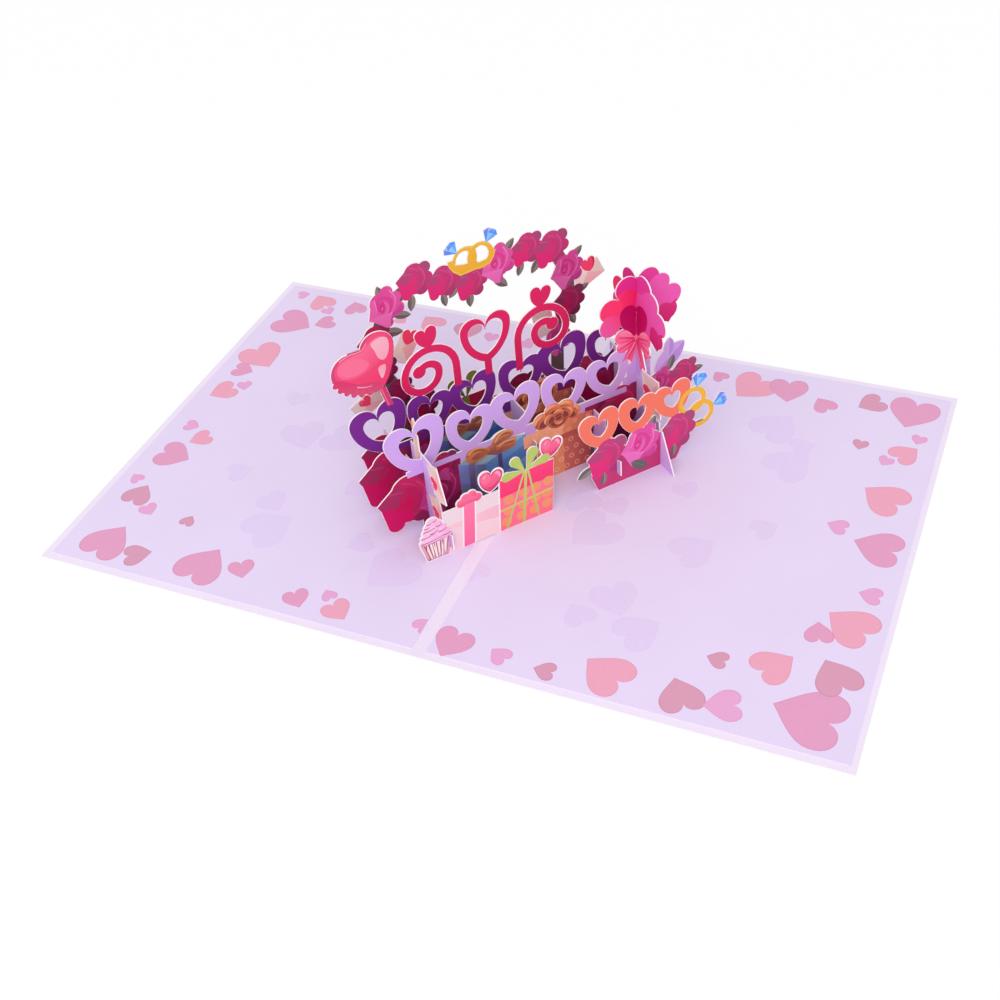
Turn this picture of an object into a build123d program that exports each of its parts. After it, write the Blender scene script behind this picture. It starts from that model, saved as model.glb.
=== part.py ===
"""Pop up card: a folded card lying open, with interlocking printed slices standing on its fold.

Millimetres. X runs across the two pages, Y along the fold, Z up from the underside of the card.
On a slice, "along" is measured from the left end of the rows, "forward" from the middle of the
lattice towards the front row, and "up" from the top of the liners.
"""

import math
import os

from build123d import *

os.makedirs("parts", exist_ok=True)

# Card and liners
CARD_DEPTH = 200.0
LEFT_PAGE = 159.5
RIGHT_PAGE = 151.5
COVER_T = 0.4
LINER_T = 0.3
LEFT_BORDER = 3.0
RIGHT_BORDER = 2.2
END_BORDER = 3.0
FOLD_STRIP = 5.6
SCORE_COUNT = 4
SCORE_PITCH = 1.2
SCORE_WIDTH = 0.4
SCORE_DEPTH = 0.12

# Lattice of slices
SHEET_T = 0.5
SLOT_CLEARANCE = 0.1
LAP_CLEARANCE = 1.0
ROW_ANGLE = 51.0
ROW_PITCH = 17.0
ROW_MIDDLE = 57.0
LATTICE_SHIFT = 3.5
CROSS_LEFT = 11.0
CROSS_MIDDLE = 57.0
CROSS_INNER = 84.0
CROSS_RIGHT = 104.0
LAP_LOW = 15.0
LAP_FRONT = 16.0
LAP_BUNCH = 61.5
TAB_HEIGHT = 6.2
TAB_REACH = 2.4
TAB_BARB = 0.9
LEFT_TAB_UP = 3.2
INNER_TAB_UP = 5.0
FOOT_LENGTH = 14.0
FOOT_FORWARD = -1.0
BACK_OVERHANG = 2.5
FRONT_GAP = 1.0

# Shares of the printed figures' outlines
ROSE_LOBES = (
    (0.0, 0.0, 0.8),
    (0.02, 0.42, 0.56),
    (0.6, 0.56, 0.36),
    (0.68, -0.02, 0.34),
    (0.34, -0.55, 0.38),
    (-0.5, -0.7, 0.29),
)
ROSE_PETAL = ((-0.42, 0.7), (-1.02, 0.22), (-0.92, 0.0), (-0.79, -0.7), (0.0, 0.0))
LEAF_WIDTH = 0.46
LOOP_WIDTH = 0.62
RIBBON_WIDTH = 0.42
HEART_OPENING = 0.54
FLOURISH_OPENING = 0.68
BOLD_OPENING = 0.42
SMALLEST_CUT = 14.0
GEM_TABLE = 0.56
GEM_SIZE = 1.15
STALK = 6.0
ENVELOPE_LENGTH = 12.5
ENVELOPE_HEIGHT = 8.5
RAIL = 2.8
RAIL_LOW = 27.2
BED_MARGIN = 6.0

# Ornament strokes
FLOURISH_STROKE = 3.2
RING_BAND = 2.3

# Worked out from the above
CARD_WIDTH = LEFT_PAGE + RIGHT_PAGE
FOLD_X = LEFT_PAGE - CARD_WIDTH / 2
PAGE_TOP = COVER_T + LINER_T
SLOT_WIDTH = SHEET_T + 2 * SLOT_CLEARANCE
FRONT_ROW = 1.5 * ROW_PITCH
THIRD_ROW = 0.5 * ROW_PITCH
SECOND_ROW = -0.5 * ROW_PITCH
BACK_ROW = -1.5 * ROW_PITCH
CROSS_BACK = BACK_ROW - BACK_OVERHANG
BED_HEIGHT = LAP_LOW + BED_MARGIN
ROW_DIR = Vector(math.cos(math.radians(ROW_ANGLE)), math.sin(math.radians(ROW_ANGLE)))
FRONT_DIR = Vector(ROW_DIR.Y, -ROW_DIR.X)
LATTICE_MIDDLE = Vector(FOLD_X, LATTICE_SHIFT, PAGE_TOP)


def row_plane(forward):
    """Plane of a row: local x along the row, local y up."""
    corner = LATTICE_MIDDLE + FRONT_DIR * forward - ROW_DIR * ROW_MIDDLE
    return Plane(corner, x_dir=ROW_DIR, z_dir=FRONT_DIR)


def cross_plane(along):
    """Plane of a cross slice: local x forward, local y up."""
    corner = LATTICE_MIDDLE + ROW_DIR * (along - ROW_MIDDLE)
    return Plane(corner, x_dir=FRONT_DIR, z_dir=-ROW_DIR)


def page_point(along, forward):
    """Place on the page under a point of the lattice."""
    point = LATTICE_MIDDLE + ROW_DIR * (along - ROW_MIDDLE) + FRONT_DIR * forward
    return (point.X, point.Y)


def rose(radius):
    """Rose with a pointed petal on its left and round ones about it."""
    with BuildSketch() as shape:
        for x, y, size in ROSE_LOBES:
            with Locations((x * radius, y * radius)):
                Circle(size * radius)
        with BuildLine():
            Polyline(*((x * radius, y * radius) for x, y in ROSE_PETAL), close=True)
        make_face()
    return shape.sketch


def leaf(length, share=LEAF_WIDTH):
    """Pointed leaf from its root at the origin along +x."""
    with BuildSketch() as shape:
        with BuildLine():
            ThreePointArc((0, 0), (length / 2, length * share / 2), (length, 0))
            mirror(about=Plane.XZ)
        make_face()
    return shape.sketch


def loop(length, share=LOOP_WIDTH):
    """Loop of a bow: round at the outer end, pointed at the knot."""
    tip = length * share / 2
    with BuildSketch() as shape:
        with Locations((length - tip, 0)):
            Circle(tip)
        with BuildLine():
            Polyline((0, 0), (length - tip, tip), (length - tip, -tip), close=True)
        make_face()
    return shape.sketch


def heart(width):
    """Heart as tall as it is wide, tip down."""
    with BuildSketch() as shape:
        with BuildLine():
            lobe = CenterArc((width / 4, width / 4), width / 4, 0, 180)
            TangentArc(lobe @ 0, (0, -width / 2), tangent=(0, -1))
            mirror(about=Plane.YZ)
        make_face()
    return shape.sketch


def open_heart(width, opening):
    """Heart with a smaller heart cut out of it."""
    with BuildSketch() as shape:
        add(heart(width))
        with Locations((0, width * 0.02)):
            add(heart(width * opening), mode=Mode.SUBTRACT)
    return shape.sketch


def volute(radius, stroke, hand):
    """Scroll that rises from the origin and curls in, to the left for hand 1."""
    with BuildSketch() as shape:
        with BuildLine():
            outer = JernArc((0, 0), (0, 1), radius, hand * 180)
            middle = JernArc(outer @ 1, outer % 1, radius * 0.66, hand * 180)
            inner = JernArc(middle @ 1, middle % 1, radius * 0.4, hand * 150)
        trace(line_width=stroke)
        with Locations(inner @ 1):
            Circle(stroke * 0.85)
    return shape.sketch


def gem(width):
    """Cut stone, point down."""
    table = width * GEM_TABLE / 2
    with BuildSketch() as shape:
        with BuildLine():
            Polyline(
                (0, -width / 2),
                (width / 2, width * 0.15),
                (table, width * 0.4),
                (-table, width * 0.4),
                (-width / 2, width * 0.15),
                close=True,
            )
        make_face()
    return shape.sketch


def place(figure, along, up, turn=0):
    """Adds a figure to the sketch being built."""
    with Locations(Location((along, up), turn)):
        add(figure)


def upright(left, right, low, high):
    """Adds an upright rectangle between two ends and two heights."""
    with Locations(((left + right) / 2, (low + high) / 2)):
        Rectangle(right - left, high - low)


def roses(places):
    """Adds roses given as along, up, radius, turn."""
    for along, up, radius, turn in places:
        place(rose(radius), along, up, turn)


def leaves(places):
    """Adds leaves given as along, up of the root, turn, length."""
    for along, up, turn, length in places:
        place(leaf(length), along, up, turn)


def fill_specks(outline):
    """Closes the gaps between figures that are too small to be cut out."""
    for face in outline.sketch_local.faces():
        for edge in face.inner_wires():
            if Face(edge).area < SMALLEST_CUT:
                add(Face(edge))


def row_slots(crossings):
    """Cuts slots from the foot of a row, given as along, lap height."""
    for along, lap in crossings:
        with Locations((along, 0)):
            Rectangle(SLOT_WIDTH, 2 * (lap + LAP_CLEARANCE), mode=Mode.SUBTRACT)


def cross_slots(crossings):
    """Cuts slots from the top of a cross slice, given as forward, lap height, height of the top."""
    for forward, lap, top in crossings:
        with Locations((forward, (lap + top) / 2)):
            Rectangle(SLOT_WIDTH, top - lap, mode=Mode.SUBTRACT)


def tab(up):
    """Adds a barbed tab that passes through the front row."""
    outer = FRONT_ROW + SHEET_T / 2
    upright(FRONT_ROW - 2 * FRONT_GAP, outer + TAB_REACH, up, up + TAB_HEIGHT)
    with BuildLine() as barb:
        Polyline(
            (outer + SLOT_CLEARANCE, up + TAB_HEIGHT),
            (outer + TAB_REACH, up + TAB_HEIGHT),
            (outer + TAB_REACH, up + TAB_HEIGHT + TAB_BARB),
            close=True,
        )
    make_face(barb.edges())


def tab_slot(along, up):
    """Cuts the closed slot for a tab."""
    with Locations((along, up + TAB_HEIGHT / 2)):
        Rectangle(SLOT_WIDTH, TAB_HEIGHT + 2 * SLOT_CLEARANCE, mode=Mode.SUBTRACT)


def rings(along, up, radius, apart, turn, stones):
    """Adds two linked rings, each with a stone set at the angle given."""
    lean = math.radians(turn)
    for side, stone in ((-0.5, stones[0]), (0.5, stones[1])):
        at = (along + side * apart * math.cos(lean), up + side * apart * math.sin(lean))
        with Locations(at):
            Circle(radius)
        reach = radius + radius * GEM_SIZE * 0.4
        aim = math.radians(stone)
        spot = (at[0] + reach * math.cos(aim), at[1] + reach * math.sin(aim))
        place(gem(radius * GEM_SIZE), spot[0], spot[1], stone - 90)


def ring_holes(along, up, radius, apart, turn):
    """Opens the two linked rings, all but the lens where they cross."""
    lean = math.radians(turn)
    for side in (-0.5, 0.5):
        at = (along + side * apart * math.cos(lean), up + side * apart * math.sin(lean))
        other = (along - side * apart * math.cos(lean), up - side * apart * math.sin(lean))
        with BuildSketch(mode=Mode.PRIVATE) as hole:
            with Locations(at):
                Circle(radius - RING_BAND)
            with Locations(other):
                Circle(radius, mode=Mode.SUBTRACT)
        add(hole.sketch, mode=Mode.SUBTRACT)


def bunch(middle):
    """Adds the bunch of heart balloons with its bow, about an upright middle line."""
    for out, up, size in BUNCH_LOBES:
        with Locations((middle + out, up)):
            Circle(size)
    for points in (BUNCH_BODY,) + BOW_TAILS:
        with BuildLine() as edge:
            Polyline(*[(middle + out, up) for out, up in points], close=True)
        make_face(edge.edges())
    for side in (-1, 1):
        place(loop(10.5), middle, 50.5, 90 - side * 66)
        place(loop(9.5), middle, 50.5, 90 - side * 104)
    upright(middle - STALK / 2, middle + STALK / 2, 34, 58)


# Places of the figures: along, up, radius, turn for roses; along, up, turn, length for leaves
ARCH_LINE = (
    (20, 4),
    (18, 40),
    (13, 51),
    (12, 65),
    (18, 78),
    (31, 85),
    (41.5, 80),
    (53, 76),
    (65, 80),
    (77, 82),
    (88, 78.5),
    (94, 66.5),
    (94, 52),
    (88, 36),
    (87, 4),
)
ARCH_ROSES = (
    (18, 39, 6.8, 0),
    (13, 51, 6.4, -6),
    (12, 65, 7.2, 4),
    (18, 78, 7.6, 38),
    (30.5, 85, 7.3, 0),
    (41.5, 80.4, 7.0, -4),
    (53, 76, 6.9, 0),
    (64.5, 80, 7.4, 34),
    (77, 82, 6.9, -2),
    (87.5, 78.5, 7.7, 0),
    (94, 66.5, 7.4, 22),
    (94, 52, 7.4, 0),
    (88, 36, 6.6, 30),
    (8, 14, 9.0, 0),
    (26, 28, 8.0, 6),
    (70, 17, 10.0, 0),
    (100, 14, 9.5, 0),
)
ARCH_LEAVES = (
    (17, 81, 100, 7.0),
    (20, 74, -18, 8.0),
    (29, 80, -100, 7.5),
    (41, 76, -82, 6.5),
    (48, 77, -135, 6.5),
    (52, 73, -92, 7.5),
    (62, 75, -45, 8.5),
    (67, 83, 48, 7.5),
    (75, 78, -110, 7.0),
    (83, 77, -125, 8.0),
    (95, 70, 42, 8.0),
    (97, 55, 20, 7.0),
    (94, 48, -70, 7.5),
    (15, 68, -15, 9.0),
)
ARCH_GIFT = (36, 56, 0, 26)
ARCH_RINGS = (54.75, 86.0, 5.7, 5.9, 0)
RING_PLATE = (
    (44.1, 87.8),
    (44.3, 85.4),
    (46.0, 82.5),
    (48.8, 80.1),
    (61.6, 81.0),
    (63.4, 83.4),
    (64.5, 86.7),
    (62.0, 87.0),
    (47.0, 87.8),
)
RING_OPENINGS = (
    ((47.5, 85.4), (47.9, 87.5), (49.1, 89.2), (50.8, 89.9), (52.6, 89.6), (52.9, 88.6), (52.2, 86.6),
     (52.2, 84.6), (50.0, 84.8)),
    ((56.2, 89.3), (57.8, 89.9), (59.2, 89.6), (60.5, 88.4), (61.1, 86.7), (60.9, 85.0), (60.1, 83.8),
     (56.9, 83.4), (56.2, 84.2), (56.6, 86.6)),
)
BED_ROSES = ((3.5, 16.5, 12.5, 0), (17, 14, 10.0, 30), (19, 27, 6.0, 0), (96, 21, 10.5, 0))
FRONT_ROSES = ((79.5, 14.8, 9.0, 0), (94.5, 14, 8.8, 16), (111, 13.4, 9.0, 0))
FRONT_LEAVES = (
    (74, 13, 205, 9.0),
    (78, 8, 262, 6.5),
    (97, 18, 62, 9.0),
    (110, 8, 265, 6.5),
    (118, 13, 2, 7.0),
)
BUNCH_LOBES = (
    (-4.2, 74.0, 5.0),
    (-11.4, 66.8, 4.8),
    (-11.8, 60.0, 4.6),
    (4.9, 74.8, 5.0),
    (10.0, 71.0, 4.5),
    (14.8, 64.4, 4.9),
    (13.6, 58.0, 4.4),
)
BUNCH_BODY = (
    (0.0, 77.4),
    (4.9, 74.8),
    (10.0, 71.0),
    (14.8, 64.4),
    (17.6, 57.0),
    (14.2, 52.2),
    (10.0, 54.6),
    (5.0, 55.0),
    (0.0, 50.5),
    (-5.0, 55.0),
    (-7.2, 58.4),
    (-9.6, 57.0),
    (-11.8, 60.0),
    (-11.4, 66.8),
    (-4.2, 74.0),
)
BOW_TAILS = (
    ((-2.4, 50.5), (0.6, 50.5), (-2.6, 40.0), (-4.4, 42.4), (-7.2, 41.6)),
    ((-0.6, 50.5), (2.4, 50.5), (6.6, 38.4), (4.4, 38.8), (2.6, 36.4)),
)
BLUE_GIFT = ((25, 0), (54, 0), (54, 26.4), (37, 29.6), (24.6, 24.2))
BLUE_BOW = ((33.2, 25.6, 11.0, 7.4, 12), (44.0, 29.0, 10.4, 6.2, 4), (45.4, 24.6, 9.0, 5.4, 6))
AMBER_LID = ((52.6, 18.4), (83.5, 18.4), (83.5, 25.2), (70, 26.6), (52.6, 24.8))
AMBER_CURLS = ((61.2, 28.8, 3.8), (66.0, 31.8, 3.7), (71.4, 31.0, 4.0), (75.0, 28.0, 3.1), (68.0, 28.0, 5.0))
ICING = (
    (5.6, 10.0, 14.2, 4.6),
    (5.5, 12.0, 12.8, 5.2),
    (5.3, 14.2, 10.8, 5.2),
    (5.0, 16.4, 8.2, 5.0),
    (4.7, 18.4, 5.2, 4.2),
)
BALLOON_LOBES = ((-5.0, 69.0, 7.4), (6.2, 75.0, 6.7))
BALLOON_GATHERS = (
    (-11.2, 65.2, 1.3),
    (-9.6, 62.6, 1.3),
    (-7.4, 60.6, 1.3),
    (-4.9, 58.9, 1.3),
    (-2.0, 57.8, 1.3),
    (1.2, 57.3, 1.3),
)
BALLOON_BODY = (
    (-5.0, 76.4),
    (0.2, 76.6),
    (3.4, 81.0),
    (12.8, 73.5),
    (11.4, 66.5),
    (9.0, 61.0),
    (6.4, 57.2),
    (3.0, 56.6),
    (-3.8, 58.2),
    (-9.6, 61.9),
    (-12.2, 67.2),
)
BALLOON_TAIL = ((4.6, 57.5), (7.4, 57.5), (9.6, 48.6), (6.8, 48.6))
FLOURISH_VOLUTES = ((36, 56, 10.5, 1), (62, 56, 10.5, -1))
FLOURISH_STEMS = ((36, 46, 57), (49, 46, 53), (62, 42.5, 57))
FLOURISH_HEARTS = ((25.5, 71.5, 9.0, 8), (72.5, 71.5, 9.0, -8))
PURPLE_HEARTS = ((3, 39.5, 23, 8), (23, 38, 19, -8), (42, 38.5, 20, 6), (62, 38, 20, -6))
PURPLE_HEARTS_RIGHT = ((81, 39.5, 22, 8), (100, 38, 18, -6))
LAVENDER_HEARTS = ((9.5, 39.5, 24, 8), (31, 38, 20, -8), (51, 39, 21, 6), (71, 38, 20, -6))
LAVENDER_HEARTS_RIGHT = ((91, 38, 19, 6),)
BOLD_HEARTS = ((76.5, 29.3, 17.5, 6), (93, 29.3, 17.5, -6), (109, 29.3, 17.0, 6))


def balloon():
    """Adds the foil heart balloon with its gathered edge and its tail."""
    for along, up, size in BALLOON_LOBES + BALLOON_GATHERS:
        with Locations((along, up)):
            Circle(size)
    for points in (BALLOON_BODY, BALLOON_TAIL):
        with BuildLine() as edge:
            Polyline(*points, close=True)
        make_face(edge.edges())


def gift_bed():
    """Adds the roses and gifts at the foot of the second and third rows."""
    upright(8, 100, 0, BED_HEIGHT)
    roses(BED_ROSES)
    for points in (BLUE_GIFT, AMBER_LID):
        with BuildLine() as edge:
            Polyline(*points, close=True)
        make_face(edge.edges())
    for along, up, wide, tall, turn in BLUE_BOW:
        with Locations(Location((along, up), turn)):
            Ellipse(wide / 2, tall / 2)
    upright(54.5, 82, 0, 20)
    for along, up, size in AMBER_CURLS:
        with Locations((along, up)):
            Circle(size)


# Outer card, scored along the fold
with BuildPart() as cover:
    with BuildSketch(Plane.XY):
        Rectangle(CARD_WIDTH, CARD_DEPTH)
    extrude(amount=COVER_T)
    with BuildSketch(Plane.XY.offset(COVER_T)):
        with Locations((FOLD_X, 0)):
            with GridLocations(SCORE_PITCH, 1, SCORE_COUNT, 1):
                Rectangle(SCORE_WIDTH, CARD_DEPTH)
    extrude(amount=-SCORE_DEPTH, mode=Mode.SUBTRACT)
cover.part.label = "cover"
export_step(cover.part, "parts/cover.step")

# Printed sheet on the left page, slit for the foot of the left cross slice
with BuildPart() as liner_left:
    with BuildSketch(Plane.XY.offset(COVER_T)):
        left = -CARD_WIDTH / 2 + LEFT_BORDER
        right = FOLD_X - FOLD_STRIP / 2
        upright(left, right, END_BORDER - CARD_DEPTH / 2, CARD_DEPTH / 2 - END_BORDER)
        with Locations(Location(page_point(CROSS_LEFT, FOOT_FORWARD), ROW_ANGLE - 90)):
            Rectangle(FOOT_LENGTH + 2 * SLOT_CLEARANCE, SLOT_WIDTH, mode=Mode.SUBTRACT)
    extrude(amount=LINER_T)
liner_left.part.label = "liner_left"
export_step(liner_left.part, "parts/liner_left.step")

# Printed sheet on the right page, slit for the foot of the right cross slice
with BuildPart() as liner_right:
    with BuildSketch(Plane.XY.offset(COVER_T)):
        left = FOLD_X + FOLD_STRIP / 2
        right = CARD_WIDTH / 2 - RIGHT_BORDER
        upright(left, right, END_BORDER - CARD_DEPTH / 2, CARD_DEPTH / 2 - END_BORDER)
        with Locations(Location(page_point(CROSS_RIGHT, FOOT_FORWARD), ROW_ANGLE - 90)):
            Rectangle(FOOT_LENGTH + 2 * SLOT_CLEARANCE, SLOT_WIDTH, mode=Mode.SUBTRACT)
    extrude(amount=LINER_T)
liner_right.part.label = "liner_right"
export_step(liner_right.part, "parts/liner_right.step")

# Back row: arch of roses over a bed, rings at its crown, envelopes at its sides
with BuildPart() as arch_row:
    with BuildSketch(row_plane(BACK_ROW)) as outline:
        with BuildLine():
            Polyline(*ARCH_LINE)
        trace(line_width=STALK)
        upright(6, 102, 0, BED_HEIGHT)
        leaves(ARCH_LEAVES)
        roses(ARCH_ROSES)
        gift_left, gift_right, gift_low, gift_high = ARCH_GIFT
        upright(gift_left, gift_right, gift_low, gift_high)
        gift_middle = (gift_left + gift_right) / 2
        place(loop(12.0, RIBBON_WIDTH), gift_middle, gift_high - 1, 122)
        place(loop(12.5, RIBBON_WIDTH), gift_middle, gift_high - 1, 70)
        for along, up, turn in ((23.2, 58, 58), (5.4, 39.4, 28), (103.5, 61.5, 24), (82.5, 46.5, 100)):
            with Locations(Location((along, up), turn)):
                Rectangle(ENVELOPE_LENGTH, ENVELOPE_HEIGHT)
        place(heart(6.5), 25.5, 62, -25)
        place(heart(6.5), 103.5, 65.5, 15)
        rings(*ARCH_RINGS, (131, 58))
        with BuildLine() as plate:
            Polyline(*RING_PLATE, close=True)
        make_face(plate.edges())
        fill_specks(outline)
        for opening in RING_OPENINGS:
            with BuildLine() as edge:
                Polyline(*opening, close=True)
            make_face(edge.edges(), mode=Mode.SUBTRACT)
        row_slots(((CROSS_LEFT, LAP_LOW), (CROSS_MIDDLE, LAP_LOW), (CROSS_INNER, LAP_LOW)))
    extrude(amount=SHEET_T / 2, both=True)
arch_row.part.label = "arch_row"
export_step(arch_row.part, "parts/arch_row.step")

# Second row: heart balloon, crimson flourish over a chain of open hearts, gifts and roses
with BuildPart() as scroll_row:
    with BuildSketch(row_plane(SECOND_ROW)) as outline:
        gift_bed()
        upright(4, 100, RAIL_LOW, RAIL_LOW + RAIL)
        upright(8, 26, 20, RAIL_LOW + RAIL)
        upright(80, 98, 8, RAIL_LOW + RAIL)
        for along, up, width, turn in PURPLE_HEARTS + PURPLE_HEARTS_RIGHT:
            place(open_heart(width, HEART_OPENING), along, up, turn)
        for along, up, radius, hand in FLOURISH_VOLUTES:
            place(volute(radius, FLOURISH_STROKE, hand), along, up)
        for along, low, high in FLOURISH_STEMS:
            half = FLOURISH_STROKE / 2
            upright(along - half, along + half, low, high)
        place(open_heart(21, FLOURISH_OPENING), 49, 62)
        for along, up, width, turn in FLOURISH_HEARTS:
            place(heart(width), along, up, turn)
        balloon()
        fill_specks(outline)
        row_slots(
            (
                (CROSS_LEFT, LAP_LOW),
                (CROSS_MIDDLE, LAP_LOW),
                (CROSS_INNER, LAP_LOW),
                (CROSS_RIGHT, LAP_LOW),
            )
        )
    extrude(amount=SHEET_T / 2, both=True)
scroll_row.part.label = "scroll_row"
export_step(scroll_row.part, "parts/scroll_row.step")

# Third row: chain of open hearts, gifts and roses, one sheet of the balloon bunch
with BuildPart() as heart_row:
    with BuildSketch(row_plane(THIRD_ROW)) as outline:
        gift_bed()
        upright(4, 99, RAIL_LOW, RAIL_LOW + RAIL)
        upright(8, 26, 20, RAIL_LOW + RAIL)
        upright(80, 98, 8, RAIL_LOW + RAIL)
        upright(86, 112, 14, 30)
        upright(99, 110, 14, 40)
        for along, up, width, turn in LAVENDER_HEARTS + LAVENDER_HEARTS_RIGHT:
            place(open_heart(width, HEART_OPENING), along, up, turn)
        bunch(CROSS_RIGHT)
        roses(((115, 25, 6.4, 30), (125, 25.3, 7.0, 0)))
        place(leaf(8.0), 127, 25, 2)
        place(leaf(8.0), 118, 29, 70)
        place(leaf(17.0, 0.55), 112, 31, 36)
        place(leaf(9.0, 0.55), 118, 36, 84)
        fill_specks(outline)
        row_slots(
            (
                (CROSS_LEFT, LAP_LOW),
                (CROSS_MIDDLE, LAP_LOW),
                (CROSS_INNER, LAP_LOW),
                (CROSS_RIGHT, LAP_BUNCH),
            )
        )
    extrude(amount=SHEET_T / 2, both=True)
heart_row.part.label = "heart_row"
export_step(heart_row.part, "parts/heart_row.step")

# Front row, left: cupcake, two gifts and two hearts
with BuildPart() as gift_row:
    with BuildSketch(row_plane(FRONT_ROW)) as outline:
        with BuildLine():
            Polyline((0.9, 0), (10.0, 0), (12.7, 9.6), (-1.5, 9.0), close=True)
        make_face()
        for along, up, wide, tall in ICING:
            with Locations((along, up)):
                Ellipse(wide / 2, tall / 2)
        upright(9, 32.6, 0, 20.5)
        for along, up in ((17, 21.4), (19, 23.2), (21.6, 23.6), (23.6, 21.6)):
            with Locations((along, up)):
                Circle(2.2)
        with BuildLine():
            Polyline((31.5, 0), (54.6, 0), (56.2, 25), (32.8, 24.4), close=True)
        make_face()
        place(loop(10.5, RIBBON_WIDTH), 44.5, 23.4, 122)
        place(loop(11.5, RIBBON_WIDTH), 44.5, 23.4, 70)
        place(loop(10.5, RIBBON_WIDTH), 44.5, 24.6, 178)
        place(loop(10.5, RIBBON_WIDTH), 44.5, 25.0, 12)
        place(heart(10.6), 29.6, 26.2, -8)
        place(heart(9.8), 55, 30.6, -14)
        fill_specks(outline)
        tab_slot(CROSS_LEFT, LEFT_TAB_UP)
    extrude(amount=SHEET_T / 2, both=True)
gift_row.part.label = "gift_row"
export_step(gift_row.part, "parts/gift_row.step")

# Front row, right: three bold open hearts over three roses, rings at the end
with BuildPart() as rose_row:
    with BuildSketch(row_plane(FRONT_ROW)) as outline:
        rings(120, 21.6, 6.5, 8.6, -63, (72, 16))
        ring_holes(120, 21.6, 6.5, 8.6, -63)
        with BuildLine():
            Polyline((75, 0), (111, 0), (115, 8), (72, 8), close=True)
        make_face()
        roses(FRONT_ROSES)
        leaves(FRONT_LEAVES)
        for along, up, width, turn in BOLD_HEARTS:
            place(open_heart(width, BOLD_OPENING), along, up, turn)
        fill_specks(outline)
        row_slots(((CROSS_RIGHT, LAP_FRONT),))
        tab_slot(CROSS_INNER, INNER_TAB_UP)
    extrude(amount=SHEET_T / 2, both=True)
rose_row.part.label = "rose_row"
export_step(rose_row.part, "parts/rose_row.step")

# Left cross slice: envelopes at the front, a candle behind the third row, a foot in the liner
with BuildPart() as cross_left:
    with BuildSketch(cross_plane(CROSS_LEFT)) as outline:
        upright(CROSS_BACK, FRONT_ROW - FRONT_GAP, 0, 12)
        upright(CROSS_BACK, THIRD_ROW + 7, 0, 24)
        upright(THIRD_ROW - 9, THIRD_ROW + 8, 20, 36)
        upright(THIRD_ROW - 6, THIRD_ROW - 1.5, 30, 43)
        place(leaf(8.0), THIRD_ROW - 3.75, 42, 90)
        for forward, up, turn in ((19.5, 29, 112), (17.5, 13, 106)):
            with Locations(Location((forward, up), turn)):
                Rectangle(15, 9)
        tab(LEFT_TAB_UP)
        upright(FOOT_FORWARD - FOOT_LENGTH / 2, FOOT_FORWARD + FOOT_LENGTH / 2, -LINER_T, 1)
        fill_specks(outline)
        cross_slots([(row, LAP_LOW, 60) for row in (BACK_ROW, SECOND_ROW, THIRD_ROW)])
    extrude(amount=SHEET_T / 2, both=True)
cross_left.part.label = "cross_left"
export_step(cross_left.part, "parts/cross_left.step")

# Middle cross slice
with BuildPart() as cross_middle:
    with BuildSketch(cross_plane(CROSS_MIDDLE)):
        upright(CROSS_BACK, THIRD_ROW + BACK_OVERHANG, 0, 22)
        upright(SECOND_ROW - 4, THIRD_ROW - 3, 20, 32)
        cross_slots([(row, LAP_LOW, 40) for row in (BACK_ROW, SECOND_ROW, THIRD_ROW)])
    extrude(amount=SHEET_T / 2, both=True)
cross_middle.part.label = "cross_middle"
export_step(cross_middle.part, "parts/cross_middle.step")

# Inner right cross slice, tabbed through the front row
with BuildPart() as cross_inner:
    with BuildSketch(cross_plane(CROSS_INNER)):
        upright(CROSS_BACK, FRONT_ROW - FRONT_GAP, 0, 20)
        upright(SECOND_ROW - 4, THIRD_ROW + 9, 18, 25)
        tab(INNER_TAB_UP)
        cross_slots([(row, LAP_LOW, 40) for row in (BACK_ROW, SECOND_ROW, THIRD_ROW)])
    extrude(amount=SHEET_T / 2, both=True)
cross_inner.part.label = "cross_inner"
export_step(cross_inner.part, "parts/cross_inner.step")

# Right cross slice: second sheet of the balloon bunch, envelope, fin before the front row
with BuildPart() as cross_right:
    with BuildSketch(cross_plane(CROSS_RIGHT)) as outline:
        upright(SECOND_ROW - BACK_OVERHANG, THIRD_ROW + 5, 0, 38)
        upright(THIRD_ROW, FRONT_ROW - FRONT_GAP, 0, LAP_FRONT + 4)
        with Locations(Location((THIRD_ROW + 10.2, 29.5), 96)):
            Rectangle(17, 11.5)
        with BuildLine():
            Polyline(
                (FRONT_ROW - 4, 0),
                (FRONT_ROW + 9.5, 0),
                (FRONT_ROW + 1, LAP_FRONT + 0.5),
                (FRONT_ROW - 4, LAP_FRONT + 0.5),
                close=True,
            )
        make_face()
        bunch(THIRD_ROW)
        upright(FOOT_FORWARD - FOOT_LENGTH / 2, FOOT_FORWARD + FOOT_LENGTH / 2, -LINER_T, 1)
        fill_specks(outline)
        cross_slots(
            ((SECOND_ROW, LAP_LOW, 40), (THIRD_ROW, LAP_BUNCH, 90), (FRONT_ROW, LAP_FRONT, 30))
        )
    extrude(amount=SHEET_T / 2, both=True)
cross_right.part.label = "cross_right"
export_step(cross_right.part, "parts/cross_right.step")
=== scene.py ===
"""Looks of an open pop-up card: prints on the pages and the slices, paper finishes and the stage.

The card's solids stay as they come in model.glb. Each slice gets a printed skin. Its fields of colour are
drawn in millimetres on the slice's own plane, lower fields first, and joined into one sheet round the
card, so that a rim of bare card shows at every cut edge, as it does where printed card is die cut.
"""

import cmath
import math

import bmesh
import bpy
from bpy.props import FloatProperty, FloatVectorProperty, PointerProperty
from mathutils import Matrix, Vector
from mathutils.geometry import delaunay_2d_cdt, interpolate_bezier


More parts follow.
